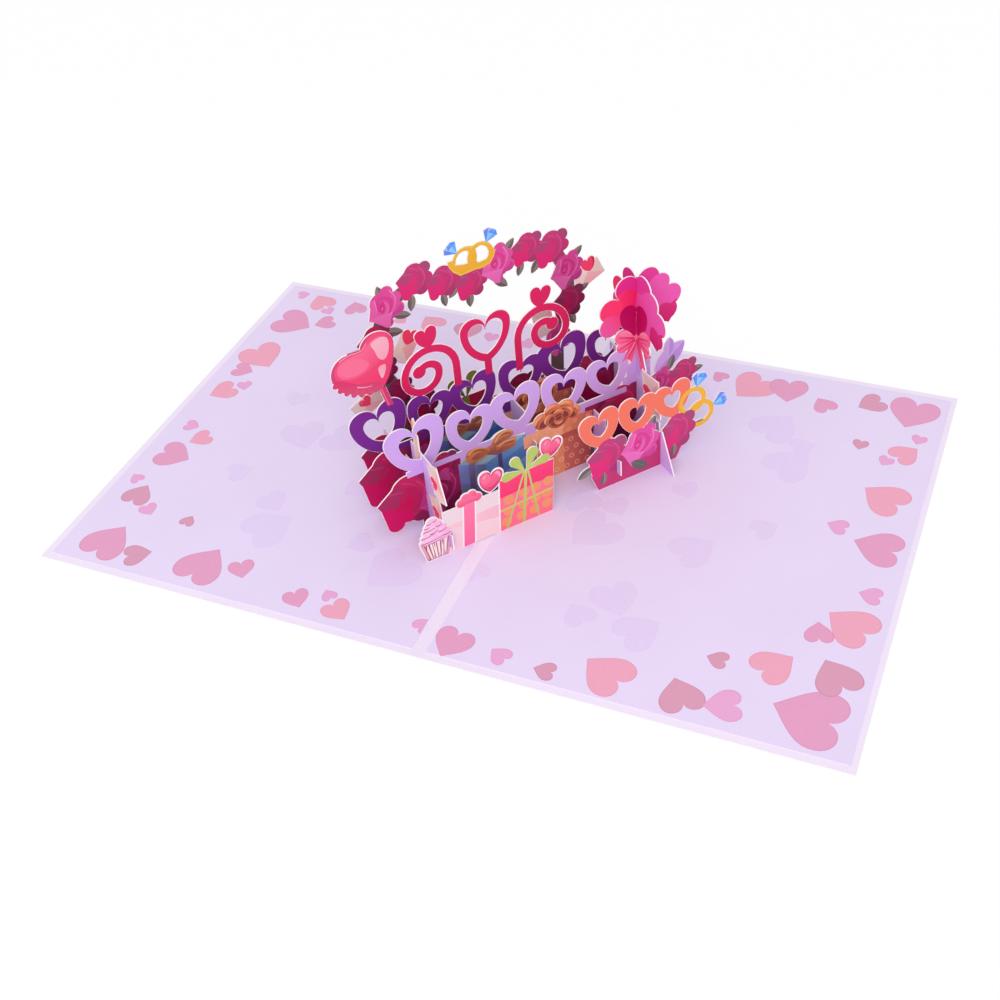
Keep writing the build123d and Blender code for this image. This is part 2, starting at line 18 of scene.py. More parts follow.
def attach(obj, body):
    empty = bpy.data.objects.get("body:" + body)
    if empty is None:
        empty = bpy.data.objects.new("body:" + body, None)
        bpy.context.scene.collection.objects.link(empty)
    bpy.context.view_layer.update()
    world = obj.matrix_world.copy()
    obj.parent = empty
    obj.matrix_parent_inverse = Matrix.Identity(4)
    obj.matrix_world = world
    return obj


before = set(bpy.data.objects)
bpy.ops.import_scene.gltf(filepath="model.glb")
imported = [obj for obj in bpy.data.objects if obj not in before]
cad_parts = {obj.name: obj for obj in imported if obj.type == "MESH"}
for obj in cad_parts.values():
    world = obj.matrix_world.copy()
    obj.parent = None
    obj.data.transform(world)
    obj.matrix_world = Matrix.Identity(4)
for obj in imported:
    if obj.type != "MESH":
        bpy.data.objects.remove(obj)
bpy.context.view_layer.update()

bl_info = {
    "name": "Pop-up card looks",
    "version": (1, 0, 0),
    "blender": (4, 5, 0),
    "location": "View3D > Sidebar > Card",
    "description": "Prints, paper finishes and stage for an open pop-up card",
    "category": "Object",
}

MM = 0.001
UP = Vector((0.0, 0.0, 1.0))
BODY = "root"

# Lay of the slices, as in the part's source, in millimetres
ROW_ANGLE = math.radians(51.0)
ROW_DIR = Vector((math.cos(ROW_ANGLE), math.sin(ROW_ANGLE), 0.0))
FRONT_DIR = Vector((math.sin(ROW_ANGLE), -math.cos(ROW_ANGLE), 0.0))
LATTICE_MIDDLE = Vector((4.0, 3.5, 0.7))
ROW_MIDDLE = 57.0
ROW_FORWARD = {
    "arch_row": -25.5,
    "scroll_row": -8.5,
    "heart_row": 8.5,
    "gift_row": 25.5,
    "rose_row": 25.5,
}
CROSS_ALONG = {"cross_left": 11.0, "cross_middle": 57.0, "cross_inner": 84.0, "cross_right": 104.0}
SLOT_WIDTH = 0.8
# Slots by their middle, low end and high end
FOOT_SLOTS = ((11, -1, 16), (57, -1, 16), (84, -1, 16))
TOP_SLOTS = ((-25.5, 15, 60), (-8.5, 15, 60), (8.5, 15, 60))
SLOTS = {
    "arch_row": FOOT_SLOTS,
    "scroll_row": (*FOOT_SLOTS, (104, -1, 16)),
    "heart_row": (*FOOT_SLOTS, (104, -1, 62.5)),
    "gift_row": ((11, 3.1, 9.5),),
    "rose_row": ((104, -1, 17), (84, 4.9, 11.3)),
    "cross_left": TOP_SLOTS,
    "cross_middle": TOP_SLOTS,
    "cross_inner": TOP_SLOTS,
    "cross_right": ((-8.5, 15, 60), (8.5, 61.5, 90), (25.5, 16, 40)),
}
PAGE_TOP = 0.7
PAGE_EDGES = {"liner_left": (-152.5, 1.2), "liner_right": (6.8, 153.3)}
PAGE_HALF_DEPTH = 97.0
PAGE_SINK = 0.01
SHEET_THICKNESS = 0.5
RING_BAND = 2.3
RAIL_LOW, RAIL_HIGH = 27.2, 30.0
SCROLL_STROKE = 3.2
CHAIN_OPENING, FLOURISH_OPENING, BOLD_OPENING = 0.54, 0.68, 0.42

# Prints start this far above the foot of a slice
FOOT = 0.1

# Inks of the roses, petal by petal
ROSE_INKS = {
    "crimson": dict(base="C93F79", left="B74779", lobe="AD4A79", right="C63A74", low="B03E73",
                    bright="E2307A", swirl="DE3478", fold="C03C76", line="D25A90"),
    "deep": dict(base="BC245D", left="A62C5D", lobe="96285A", right="AE1C58", low="8E2052",
                 bright="CC0A5E", swirl="C60E54", fold="AE205A", line="C63A6C"),
    "dark": dict(base="9C2058", left="8A2A58", lobe="7C2A55", right="92194F", low="781C4A",
                 bright="BE1058", swirl="B20E52", fold="921C52", line="A63A66"),
    "pink": dict(base="E65CAA", top="E2509F", left="E966B0", low="ED72BD", swirl="DD4494", inner="EA6AB4",
                 eye="D6307E", right="E458A6", shade="D04A9A", line="F08CCA"),
    "orchid": dict(base="D74E9C", top="D44896", left="D4589E", low="DA66AA", swirl="C83684",
                   inner="D6569E", eye="C42C78", right="CE4692", shade="B83888", line="E07CB6"),
    "plum": dict(base="B42C74", top="C44690", left="BC367E", low="C4428C", swirl="9C1A5C", inner="B03078",
                 eye="8A1250", right="A62468", shade="881A58", line="C65896"),
}

# Plain inks by the thing they print
INKS = {
    "leaf": "8C837A", "leaf_shade": "6C6668", "leaf_rib": "A09689", "stalk": "6E5A5C",
    "bed_low": "7E1A4C", "bed_high": "9A2258", "base_panel": "C83C76", "base_shade": "C23A72",
    "gold": "F0B63A", "gold_shade": "E6A930", "gold_light": "F7C858", "gem": "62B2FF",
    "gem_pale": "92CCFF", "gem_deep": "5C93F4", "gem_violet": "8088F2", "paper": "F4E2DA",
    "paper_fold": "F0D6CC", "paper_back": "F8BCBC", "paper_inner": "F6E6DE", "seal": "F8446E",
    "seal_light": "F86A86", "seal_dark": "CF2450", "cream": "F4DDCE", "cream_shade": "EBC6B4",
    "flame": "F6BE68", "flame_heart": "F9E0A0", "foil": "F04E7C", "foil_light": "F87296",
    "foil_glint": "F7B4C4", "foil_deep": "DC3D6E", "foil_edge": "D4467A", "foil_pale": "F6A2B8",
    "foil_red": "F2416F", "foil_low": "D9557C", "cake": "F4B2D8", "cake_light": "F8C6E2",
    "cake_glint": "FDE0EF", "cake_line": "B5346A", "cup_paper": "F8E6E0", "cup_line": "B0507A",
    "cup_fold": "E4A8B2", "white_gift": "EED9DE", "white_low": "F6CFD4", "white_shade": "F7CAD0",
    "white_mid": "F4BCC7", "white_edge": "FBEEF0", "rosy": "FC7CA6", "rosy_shade": "F86A9C",
    "ruffle": "F87898", "ruffle_shade": "EC5684", "red_lid": "FB4379", "red_box": "FF7590",
    "red_low": "FF6F88", "red_edge": "F23A70", "dot": "F0976C", "lime": "C4CE70", "lime_shade": "B2C460",
    "lime_bow": "B7CA66", "moss": "8C9448", "moss_shade": "727A3A", "deep_red": "C01E48",
    "deep_box": "D64A68", "sky": "5C92D2", "sky_deep": "4A78BE", "sky_lid": "70A6DC", "sky_top": "8CB2BC",
    "sky_pale": "9CC0D0", "sky_band": "8088DC", "sky_grey": "7090B8", "sky_dusk": "64749E",
    "ribbon": "5A5088", "ribbon_light": "767098", "bronze": "C4764E", "bronze_light": "DA8C5A",
    "bronze_deep": "9C5450", "bronze_shine": "EAAA70", "amber": "FFAC80", "amber_light": "FFBA90",
    "amber_side": "FAAA7C", "amber_deep": "EE9468", "amber_low": "D47060", "amber_dusk": "C46058",
    "amber_ring": "FACAA8", "amber_dull": "EEAC90", "amber_line": "BC5C42", "curl": "E27E52",
    "curl_deep": "AC5A4C", "curl_light": "F0986A", "curl_shadow": "8C4646", "curl_shine": "F8B688",
    "bunch_1": "DE2C8C", "bunch_2": "F7386E", "bunch_3": "E9589E", "bunch_4": "E23C9A",
    "bunch_5": "EE5CB2", "bunch_6": "DC2C7C", "bunch_heart": "C80660", "bunch_shade": "B8025A",
    "bunch_red": "E61E62", "bunch_rose": "E248A0", "bunch_low": "CE1468", "bow": "F76C9C",
    "bow_light": "FB88AC", "bow_fold": "EA4484", "bow_deep": "D4145F", "bow_glint": "FDA8C2",
    "panel": "CFA8EA", "panel_shade": "BF94DE", "panel_light": "DCBDF2", "page_mauve": "E8A3C8",
    "page_mauve_edge": "E096BF", "page_salmon": "F2AAC3", "page_salmon_edge": "EB9CB6",
    "page_light": "EDACD9", "page_light_edge": "E69FCF", "page_brown": "DE9FBA",
    "page_brown_edge": "D392AE", "page_faint": "E7D5F8", "page_faint_edge": "E5D2F7",
}


def channels(code):
    """Display red, green and blue from 0 to 1 for a colour written as six hex digits."""
    return tuple(int(code[k:k + 2], 16) / 255 for k in (0, 2, 4))


def linear(colour):
    """Scene-linear red, green and blue for display values."""
    return tuple(c / 12.92 if c <= 0.04045 else ((c + 0.055) / 1.055) ** 2.4 for c in colour)


def at(x, y, turn=0.0, size=1.0):
    """A place on a sheet, which maps a figure's own points to the sheet's."""
    shift = complex(x, y)
    step = cmath.rect(size, math.radians(turn))
    return lambda point: shift + step * point


# Outlines, as lists of points on the complex plane
def pairs(numbers):
    """Points from a flat row of x and y."""
    return [complex(x, y) for x, y in zip(numbers[::2], numbers[1::2])]


def box(x0, y0, x1, y1):
    """A rectangle between two corners."""
    return pairs((x0, y0, x1, y0, x1, y1, x0, y1))


def disc(radius, x=0.0, y=0.0, steps=30):
    """A circle."""
    return [complex(x, y) + cmath.rect(radius, math.tau * k / steps) for k in range(steps)]


def oval(wide, high, x=0.0, y=0.0, steps=30):
    """An ellipse."""
    return [complex(x + p.real * wide / 2, y + p.imag * high / 2) for p in disc(1.0, steps=steps)]


def through(points, closed=True, steps=5):
    """A smooth line through points."""
    padded = [points[-1], *points, *points[:2]] if closed else [points[0], *points, points[-1]]
    line = []
    for before, start, end, after in zip(padded, padded[1:], padded[2:], padded[3:]):
        knots = (start, start + (end - before) / 6, end - (after - start) / 6, end)
        piece = interpolate_bezier(*(Vector((z.real, z.imag)) for z in knots), steps + 1)
        line += [complex(*p) for p in piece[:-1]]
    return line if closed else line + [points[-1]]


def smooth(*numbers):
    """A closed smooth outline through a flat row of x and y."""
    return through(pairs(numbers))


def band(line, wide, tip=None):
    """A ribbon along a line, as wide at its end as tip says."""
    tip = wide if tip is None else tip
    left, right = [], []
    for k, point in enumerate(line):
        way = line[min(k + 1, len(line) - 1)] - line[max(k - 1, 0)]
        half = (wide + (tip - wide) * k / (len(line) - 1)) / 2
        side = 1j * way / abs(way) * half
        left.append(point + side)
        right.append(point - side)
    return left + right[::-1]


def stroke(*numbers, wide=1.0, tip=None):
    """A smooth brush stroke through a flat row of x and y."""
    return band(through(pairs(numbers), closed=False), wide, tip)


def arc(centre, radius, start, sweep, steps=12):
    """Points along an arc, in degrees."""
    turns = (math.radians(start + sweep * k / steps) for k in range(steps + 1))
    return [centre + cmath.rect(radius, turn) for turn in turns]


def lens(length, wide):
    """Two arcs that meet in points at (0, 0) and (length, 0)."""
    rise = wide / 2
    radius = (length * length / 4 + rise * rise) / (2 * rise)
    half = math.degrees(math.asin(min(1.0, length / 2 / radius)))
    below = arc(complex(length / 2, radius - rise), radius, -90 - half, 2 * half, 10)
    above = arc(complex(length / 2, rise - radius), radius, 90 - half, 2 * half, 10)
    return below[:-1] + above[:-1]


def drop(length, wide):
    """A ribbon loop: a round end on a straight taper from (0, 0)."""
    tip = wide / 2
    middle = complex(length - tip, 0)
    half = math.degrees(math.acos(tip / abs(middle)))
    return [0j] + arc(middle, tip, half - 180, 360 - 2 * half, 20)


def heart(wide):
    """The die-cut heart: round shoulders on two long arcs, tip down."""
    lobe, side = wide / 4, 0.8125 * wide
    right = arc(complex(lobe, lobe), lobe, 180, -180, 12)[:-1]
    right += arc(complex(-0.3125 * wide, lobe), side, 0, -67.38, 12)
    return right + [complex(-p.real, p.imag) for p in reversed(right[1:-1])]


def soft_heart(wide):
    """The printed heart: fuller shoulders and straighter sides."""
    knots = (0, 0.25, 0.06, 0.53, 0.5, 0.53, 0.5, 0.15), (0.5, 0.15, 0.5, -0.1, 0.2, -0.3, 0, -0.5)
    right = []
    for row in knots:
        curve = interpolate_bezier(*(Vector((z.real, z.imag)) for z in pairs(row)), 13)
        right += [complex(*p) * wide for p in curve[:-1]]
    right.append(-0.5j * wide)
    return right + [complex(-p.real, p.imag) for p in reversed(right[1:-1])]


def scroll_line(radius, hand, steps=14):
    """Centre line of a scroll that starts upwards: three arcs, each tighter than the last."""
    point, heading, line = 0j, 1j, [0j]
    for share, sweep in ((1.0, 180), (0.66, 180), (0.4, 150)):
        centre = point + heading * hand * 1j * radius * share
        turn = cmath.rect(1.0, hand * math.radians(sweep / steps))
        for _ in range(steps):
            point = centre + (point - centre) * turn
            heading *= turn
            line.append(point)
    return line


# How the fields of a print are joined and laid out on a map
INSIDE_ONLY = 1
JOIN_TOLERANCE = 1e-4
MAP_MARGIN = 0.01
MAP_SPARE = 1.04


class Print:
    """Overlapping fields of colour on one sheet. A figure's paints show only on its own grounds."""

    def __init__(self, look):
        self.rim = look.rim / MM
        self.border = look.border / MM
        self.lift = look.ink_lift / MM
        self.named = {
            "flourish": look.flourish, "chain_dark": look.chain_dark, "chain_light": look.chain_light,
            "bold": look.bold,
        }
        self.outlines, self.inks, self.roles, self.figures = [], [], [], []
        self.figure = 0
        self.spot = at(0, 0)

    def begin(self, spot=None):
        """Starts a figure at a place, or at the sheet's own origin."""
        self.figure += 1
        self.spot = spot or at(0, 0)

    def add(self, role, outline, ink):
        """Keeps one field, turned anticlockwise, with its ink as linear colours and a direction."""
        points = [self.spot(p) for p in outline]
        area = sum((a.conjugate() * b).imag for a, b in zip(points, points[1:] + points[:1]))
        self.outlines.append(points if area > 0 else points[::-1])
        self.inks.append(self.mixed(ink))
        self.roles.append(role)
        self.figures.append(self.figure)

    def mixed(self, ink):
        """One colour, or two with the line from the first to the second."""
        if ink is None or isinstance(ink, str):
            return (self.colour(ink), None, 0j, 1j)
        first, second, x0, y0, x1, y1 = ink
        start, end = self.spot(complex(x0, y0)), self.spot(complex(x1, y1))
        return (self.colour(first), self.colour(second), start, end)

    def colour(self, ink):
        """Linear colour of a named ink or of six hex digits."""
        if ink is None:
            return None
        if ink in self.named:
            return Vector(linear(self.named[ink]))
        return Vector(linear(channels(INKS.get(ink, ink))))

    def ground(self, outline, ink):
        """A field that is part of the figure's own area."""
        self.add("ground", outline, ink)

    def mask(self, outline):
        """An area that later paints of the figure may show on, with no ink of its own."""
        self.add("mask", outline, None)

    def cut(self, outline):
        """An opening in the figure."""
        self.add("cut", outline, None)

    def hole(self, outline):
        """An opening through all that is drawn before it."""
        self.add("hole", outline, None)

    def paint(self, outline, ink):
        """A field that shows only on the figure's area."""
        self.add("paint", outline, ink)

    def shape(self, ink, *numbers):
        """Paints an outline with straight sides."""
        self.paint(pairs(numbers), ink)

    def blob(self, ink, *numbers):
        """Paints a smooth outline."""
        self.paint(smooth(*numbers), ink)

    def line(self, ink, *numbers, wide, tip=None):
        """Paints a brush stroke."""
        self.paint(stroke(*numbers, wide=wide, tip=tip), ink)

    def inset(self, x0, y0, x1, y1):
        """A rectangle drawn in by the bare rim, or by the foot's margin where it stands on the page."""
        low = y0 + self.rim if y0 else FOOT
        return box(x0 + self.rim, low, x1 - self.rim, y1 - self.rim)

    def shown(self, found):
        """The topmost field among those that hold a spot, or None where the sheet is bare."""
        opened = max((k for k in found if self.roles[k] == "hole"), default=-1)
        found = [k for k in found if k > opened]
        areas = {self.figures[k] for k in found if self.roles[k] in ("ground", "mask")}
        areas -= {self.figures[k] for k in found if self.roles[k] == "cut"}
        inked = (k for k in found if self.roles[k] in ("ground", "paint") and self.figures[k] in areas)
        return max(inked, default=None)

    def tint(self, field, point):
        """Linear colour of a field at a point."""
        first, second, start, end = self.inks[field]
        if second is None:
            return (*first, 1.0)
        way = end - start
        share = ((point - start) * way.conjugate()).real / abs(way) ** 2
        return (*first.lerp(second, min(max(share, 0.0), 1.0)), 1.0)

    def skin(self, name, place, low, high):
        """Joins the fields into one sheet, gives it thickness and stands it in its place on the card."""
        corners, fields = [], []
        for outline in self.outlines:
            fields.append(list(range(len(corners), len(corners) + len(outline))))
            corners += [Vector((p.real, p.imag)) for p in outline]
        joined = delaunay_2d_cdt(corners, [], fields, INSIDE_ONLY, JOIN_TOLERANCE, True)
        spots, triangles, sources = joined[0], joined[2], joined[5]
        bm = bmesh.new()
        ink = bm.loops.layers.float_color.new("ink")
        verts = [bm.verts.new((p.x, p.y, low)) for p in spots]
        for triangle, found in zip(triangles, sources):
            field = self.shown(found)
            if field is None:
                continue
            face = bm.faces.new([verts[k] for k in triangle])
            for loop in face.loops:
                loop[ink] = self.tint(field, complex(loop.vert.co.x, loop.vert.co.y))
        if not bm.faces:
            raise RuntimeError(name + " has no printed field")
        loose = [v for v in bm.verts if not v.link_faces]
        bmesh.ops.delete(bm, geom=loose, context="VERTS")
        raised = bmesh.ops.extrude_face_region(bm, geom=list(bm.faces))["geom"]
        top = [v for v in raised if isinstance(v, bmesh.types.BMVert)]
        bmesh.ops.translate(bm, verts=top, vec=(0.0, 0.0, high - low))
        lay_out(bm, (low + high) / 2)
        bm.transform(place)
        mesh = bpy.data.meshes.new(name)
        bm.to_mesh(mesh)
        bm.free()
        piece = bpy.data.objects.new(name, mesh)
        bpy.context.collection.objects.link(piece)
        mesh.materials.append(printed_ink())
        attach(piece, BODY)


def lay_out(bm, middle):
    """Lays the two faces of a printed sheet side by side on its map."""
    across = [v.co.x for v in bm.verts]
    along = [v.co.y for v in bm.verts]
    left, foot = min(across), min(along)
    span = max(max(across) - left, 2 * (max(along) - foot)) * MAP_SPARE
    layer = bm.loops.layers.uv.new("OFBake")
    for face in bm.faces:
        lower = MAP_MARGIN + (0.5 if face.calc_center_median().z < middle else 0.0)
        for loop in face.loops:
            spot = loop.vert.co
            loop[layer].uv = ((spot.x - left) / span + MAP_MARGIN, (spot.y - foot) / span + lower)


# Places of the sheets
def row_place(row):
    """Matrix from a row's own plane, along and up in millimetres, to the card."""
    origin = LATTICE_MIDDLE + FRONT_DIR * ROW_FORWARD[row] - ROW_DIR * ROW_MIDDLE
    return sheet_place(origin, ROW_DIR, UP, FRONT_DIR)


def cross_place(cross):
    """Matrix from a cross slice's own plane, forward and up in millimetres, to the card."""
    origin = LATTICE_MIDDLE + ROW_DIR * (CROSS_ALONG[cross] - ROW_MIDDLE)
    return sheet_place(origin, FRONT_DIR, UP, -ROW_DIR)


def sheet_place(origin, along, up, normal):
    """Matrix of a sheet from its origin and axes, millimetres to metres."""
    turn = Matrix((along, up, normal)).transposed().to_4x4()
    return Matrix.Translation(origin * MM) @ turn @ Matrix.Scale(MM, 4)


# Figures that several slices share
ROSE_LOBES = (
    (0, 0, 0.8), (0.02, 0.42, 0.56), (0.6, 0.56, 0.36), (0.68, -0.02, 0.34), (0.34, -0.55, 0.38),
    (-0.5, -0.7, 0.29),
)
ROSE_PETAL = (-0.42, 0.7, -1.02, 0.22, -0.92, 0.0, -0.79, -0.7, 0.0, 0.0)
CUPPED_PETALS = (
    ("right", (0.3, 0.95, 0.5, 0.62, 0.64, 0.2, 0.56, -0.3, 0.2, -0.62, 0.4, -1.1, 1.2, -0.6, 1.2, 0.6)),
    ("lobe", (0.28, 1.0, 0.38, 0.76, 0.6, 0.46, 0.84, 0.22, 1.15, 0.4, 1.1, 1.1, 0.4, 1.2)),
    ("low", (-0.14, -0.82, 0.14, -0.64, 0.46, -0.46, 0.7, -0.22, 0.86, -0.3, 1.05, -0.9, 0.2, -1.15, -0.1,
             -1.05)),
    ("fold", (-0.5, 0.66, -0.2, 0.56, 0.12, 0.5, 0.36, 0.34, 0.44, 0.02, 0.3, -0.3, 0.1, -0.5, 0.0, 0.2)),
    ("left", (-1.2, 0.24, -0.46, 0.78, -0.2, 0.56, 0.06, 0.36, 0.0, 0.12, -0.3, -0.02, -0.62, -0.06, -1.1,
              -0.02)),
    ("bright", (-1.15, -0.02, -0.62, -0.04, -0.3, -0.2, 0.02, -0.46, 0.1, -0.64, -0.1, -0.86, -0.12,
                -1.15, -0.95, -1.15)),
    ("swirl", (-0.5, -0.18, -0.32, 0.0, -0.28, 0.2, -0.12, 0.38, 0.02, 0.44, 0.14, 0.36, 0.26, 0.3, 0.3,
               0.1, 0.22, -0.12, 0.12, -0.22, 0.08, -0.44, -0.14, -0.3)),
    ("fold", (0.0, 0.38, 0.16, 0.3, 0.24, 0.1, 0.16, -0.14, 0.14, 0.1, 0.06, 0.26)),
    ("left", (-0.26, 0.04, -0.14, 0.28, 0.02, 0.34, -0.06, 0.22, -0.14, 0.08)),
)
CUPPED_LINES = (
    ("line", (0.3, 0.66, 0.52, 0.36, 0.56, -0.02, 0.44, -0.36)),
    ("line", (-0.16, 0.74, 0.06, 0.66, 0.26, 0.5)),
    ("line", (-0.6, 0.5, -0.34, 0.46, -0.14, 0.42)),
)
OPEN_PETALS = (
    ("top", (-0.7, 0.9, -0.5, 0.6, -0.1, 0.62, 0.3, 0.5, 0.36, 0.9, 0.1, 1.2, -0.4, 1.2)),
    ("right", (0.36, 1.1, 0.34, 0.7, 0.58, 0.3, 0.5, -0.1, 0.3, -0.36, 0.4, -0.8, 1.2, -0.7, 1.2, 0.6)),
    ("shade", (0.2, -0.5, 0.5, -0.36, 0.78, -0.1, 0.9, -0.4, 0.7, -0.9, 0.1, -1.1)),
    ("left", (-1.2, 0.5, -0.62, 0.62, -0.42, 0.3, -0.44, -0.04, -0.6, -0.34, -1.2, -0.5)),
    ("low", (-1.15, -0.5, -0.6, -0.32, -0.2, -0.34, 0.1, -0.4, 0.32, -0.34, 0.16, -0.76, 0.0, -1.2, -0.7,
             -1.2)),
    ("swirl", (-0.3, 0.66, 0.1, 0.6, 0.42, 0.34, 0.38, -0.04, 0.16, -0.36, -0.18, -0.26, -0.4, 0.0, -0.44,
               0.34)),
    ("top", (-0.22, 0.5, 0.06, 0.46, 0.22, 0.26, 0.24, 0.0, 0.1, 0.3, -0.1, 0.4, -0.32, 0.36)),
    ("inner", (-0.02, 0.38, 0.14, 0.22, 0.2, -0.08, 0.04, -0.38, -0.22, -0.38, -0.02, -0.16, 0.02, 0.1)),
    ("eye", (-0.3, -0.06, -0.26, 0.14, -0.12, 0.24, -0.06, 0.08, -0.14, -0.12, -0.24, -0.18)),
    ("inner", (-0.24, -0.02, -0.18, 0.1, -0.12, 0.12, -0.12, 0.0, -0.2, -0.1)),
)
OPEN_LINES = (
    ("line", (0.34, 0.86, 0.56, 0.42, 0.5, -0.02, 0.3, -0.34)),
    ("line", (-0.5, 0.62, -0.46, 0.2, -0.5, -0.1)),
    ("line", (0.3, -0.36, 0.1, -0.42, -0.3, -0.36)),
)
OPEN_TILT = 36.0


def draw_rose(art, x, y, radius, turn, tone):
    """A rose with a pointed petal on its left. Pink ones are turned further and show an open swirl."""
    inks = ROSE_INKS[tone]
    rim = art.rim / radius
    art.begin(at(x, y, turn, radius))
    for across, up, size in ROSE_LOBES:
        art.ground(disc(size - rim, across, up, 26), inks["base"])
    art.ground([p * (1 - rim) for p in pairs(ROSE_PETAL)], inks["base"])
    opened = "inner" in inks
    art.spot = at(x, y, turn - OPEN_TILT if opened else turn, radius)
    for ink, outline in OPEN_PETALS if opened else CUPPED_PETALS:
        art.blob(inks[ink], *outline)
    for ink, line in OPEN_LINES if opened else CUPPED_LINES:
        art.line(inks[ink], *line, wide=0.06, tip=0.02)


def draw_leaf(art, x, y, turn, length, share=0.46, ink="leaf", shade="leaf_shade", rib="leaf_rib"):
    """A pointed leaf, darker on one side of its rib."""
    rim = art.rim / math.sin(2 * math.atan(share))
    inner, wide = length - 2 * rim, length * share - 2 * art.rim
    spot = at(x, y, turn)
    art.begin(at(*to_numbers(spot(rim)), turn))
    art.ground(lens(inner, wide), ink)
    art.paint(box(-1, -wide, inner + 1, 0), shade)
    if rib:
        art.line(rib, 0, 0, inner * 0.45, 0.1, inner * 0.85, 0, wide=0.3, tip=0.1)


def to_numbers(point):
    """The x and y of a point."""
    return point.real, point.imag


def draw_heart(art, x, y, wide, turn, ink, shade=None):
    """A die-cut heart with a soft shade on its right."""
    art.begin(at(x, y, turn))
    art.ground(heart(wide - 2 * art.rim), ink)
    if shade:
        w = wide
        art.blob(shade, 0.02 * w, -0.6 * w, 0.3 * w, -0.1 * w, 0.36 * w, 0.3 * w, 0.3 * w, 0.6 * w,
                 0.8 * w, 0.3 * w, 0.5 * w, -0.5 * w)


def draw_open_heart(art, x, y, wide, turn, opening, ink):
    """A die-cut heart with a heart-shaped opening."""
    art.begin(at(x, y, turn))
    art.ground(heart(wide - 2 * art.rim), ink)
    art.spot = at(*to_numbers(at(x, y, turn)(0.02j * wide)), turn)
    art.cut(heart(wide * opening + 2 * art.rim))


def draw_balloon_heart(art, x, y, wide, turn):
    """A small glossy heart with a broad bare border and a glint on each shoulder."""
    w = wide - 2 * art.border
    art.begin(at(x, y, turn, w))
    art.ground(heart(1.0), "foil_edge")
    art.blob(("foil_light", "foil", -0.1, 0.4, 0.1, -0.4), -0.46, 0.26, -0.26, 0.48, -0.02, 0.3, 0.0,
             0.22, 0.24, 0.46, 0.44, 0.24, 0.36, -0.06, 0.04, -0.3, -0.1, -0.36, -0.38, -0.08)
    art.blob("foil_light", -0.38, 0.06, -0.38, 0.28, -0.22, 0.4, -0.06, 0.3, -0.02, 0.06, -0.2, -0.08)
    art.blob("foil_pale", 0.14, 0.36, 0.26, 0.42, 0.4, 0.3, 0.4, 0.1, 0.3, 0.24, 0.22, 0.3)
    art.blob("foil_pale", -0.34, 0.18, -0.32, 0.3, -0.22, 0.36, -0.24, 0.26)
    art.blob("foil_deep", -0.2, -0.24, 0.0, -0.34, 0.2, -0.22, 0.34, 0.0, 0.14, -0.22, 0.0, -0.27)


RING_STEPS = 48
STONE_SEAT, STONE_WIDTH = 1.46, 1.15
ARCH_RING_RADIUS = 5.7
ARCH_RINGS = (51.8 + 86j, 57.7 + 86j)
PLATE_GLINT = (44.7, 86.6, 45.1, 84.9, 46.4, 83, 49.2, 80.7, 61.3, 81.5, 62.8, 83.6, 63.8, 86)
RING_PLATE = (
    44.3, 87.6, 44.5, 85.5, 46.1, 82.7, 48.9, 80.3, 61.5, 81.2, 63.2, 83.5, 64.3, 86.5, 62, 86.8, 47,
    87.6,
)
RING_OPENINGS = (
    (47.3, 85.3, 47.7, 87.6, 49, 89.4, 50.8, 90.1, 52.7, 89.8, 53.1, 88.6, 52.4, 86.6, 52.4, 84.4, 50,
     84.6),
    (56, 89.4, 57.8, 90.1, 59.3, 89.8, 60.7, 88.5, 61.3, 86.7, 61.1, 85, 60.2, 83.6, 56.8, 83.2, 56, 84.1,
     56.4, 86.6),
)


def draw_arch_rings(art):
    """Two gold rings at the crown of the arch, on a plate, each with a cut stone."""
    art.begin()
    art.ground(pairs(RING_PLATE), "gold")
    for middle in ARCH_RINGS:
        art.ground(disc(ARCH_RING_RADIUS - art.rim, *to_numbers(middle), RING_STEPS), "gold")
        art.paint(band(arc(middle, ARCH_RING_RADIUS - 0.5, 40, 140), 0.4, 0.1), "gold_light")
    art.paint(band(pairs(PLATE_GLINT), 0.6, 0.3), "gold_light")
    for opening in RING_OPENINGS:
        art.hole(pairs(opening))
    for middle, turn in zip(ARCH_RINGS, (131, 58)):
        draw_stone(art, middle, ARCH_RING_RADIUS, turn)


def draw_rings(art, x, y, radius, apart, turn, stones):
    """Two linked gold rings, each with a cut stone."""
    rim = art.rim
    art.begin(at(x, y, turn))
    for middle in (-apart / 2, apart / 2):
        art.ground(disc(radius - rim, middle, steps=RING_STEPS), "gold")
        art.cut(disc(radius - RING_BAND + rim, middle, steps=RING_STEPS))
        art.paint(band(arc(middle, radius - 0.7, 30, 120), 0.5, 0.2), "gold_light")
        art.paint(band(arc(middle, radius - 0.5, 200, 300), 0.6, 0.2), "gold_shade")
    high = math.sqrt(radius * radius - apart * apart / 4) - rim
    art.begin(at(*to_numbers(at(x, y, turn)(-1j * high)), turn + 90))
    art.ground(lens(2 * high, 2 * radius - apart - 2 * rim), "gold")
    art.line("gold_shade", 1.2, 0.5, high, 0.7, 2 * high - 1.2, 0.5, wide=0.35, tip=0.1)
    for middle, stone in zip((-apart / 2, apart / 2), stones):
        draw_stone(art, at(x, y, turn)(middle), radius, stone)


def draw_stone(art, middle, radius, turn):
    """The stone of a ring, set out from the ring's middle."""
    seat = middle + cmath.rect(STONE_SEAT * radius, math.radians(turn))
    draw_gem(art, *to_numbers(seat), STONE_WIDTH * radius, turn - 90)


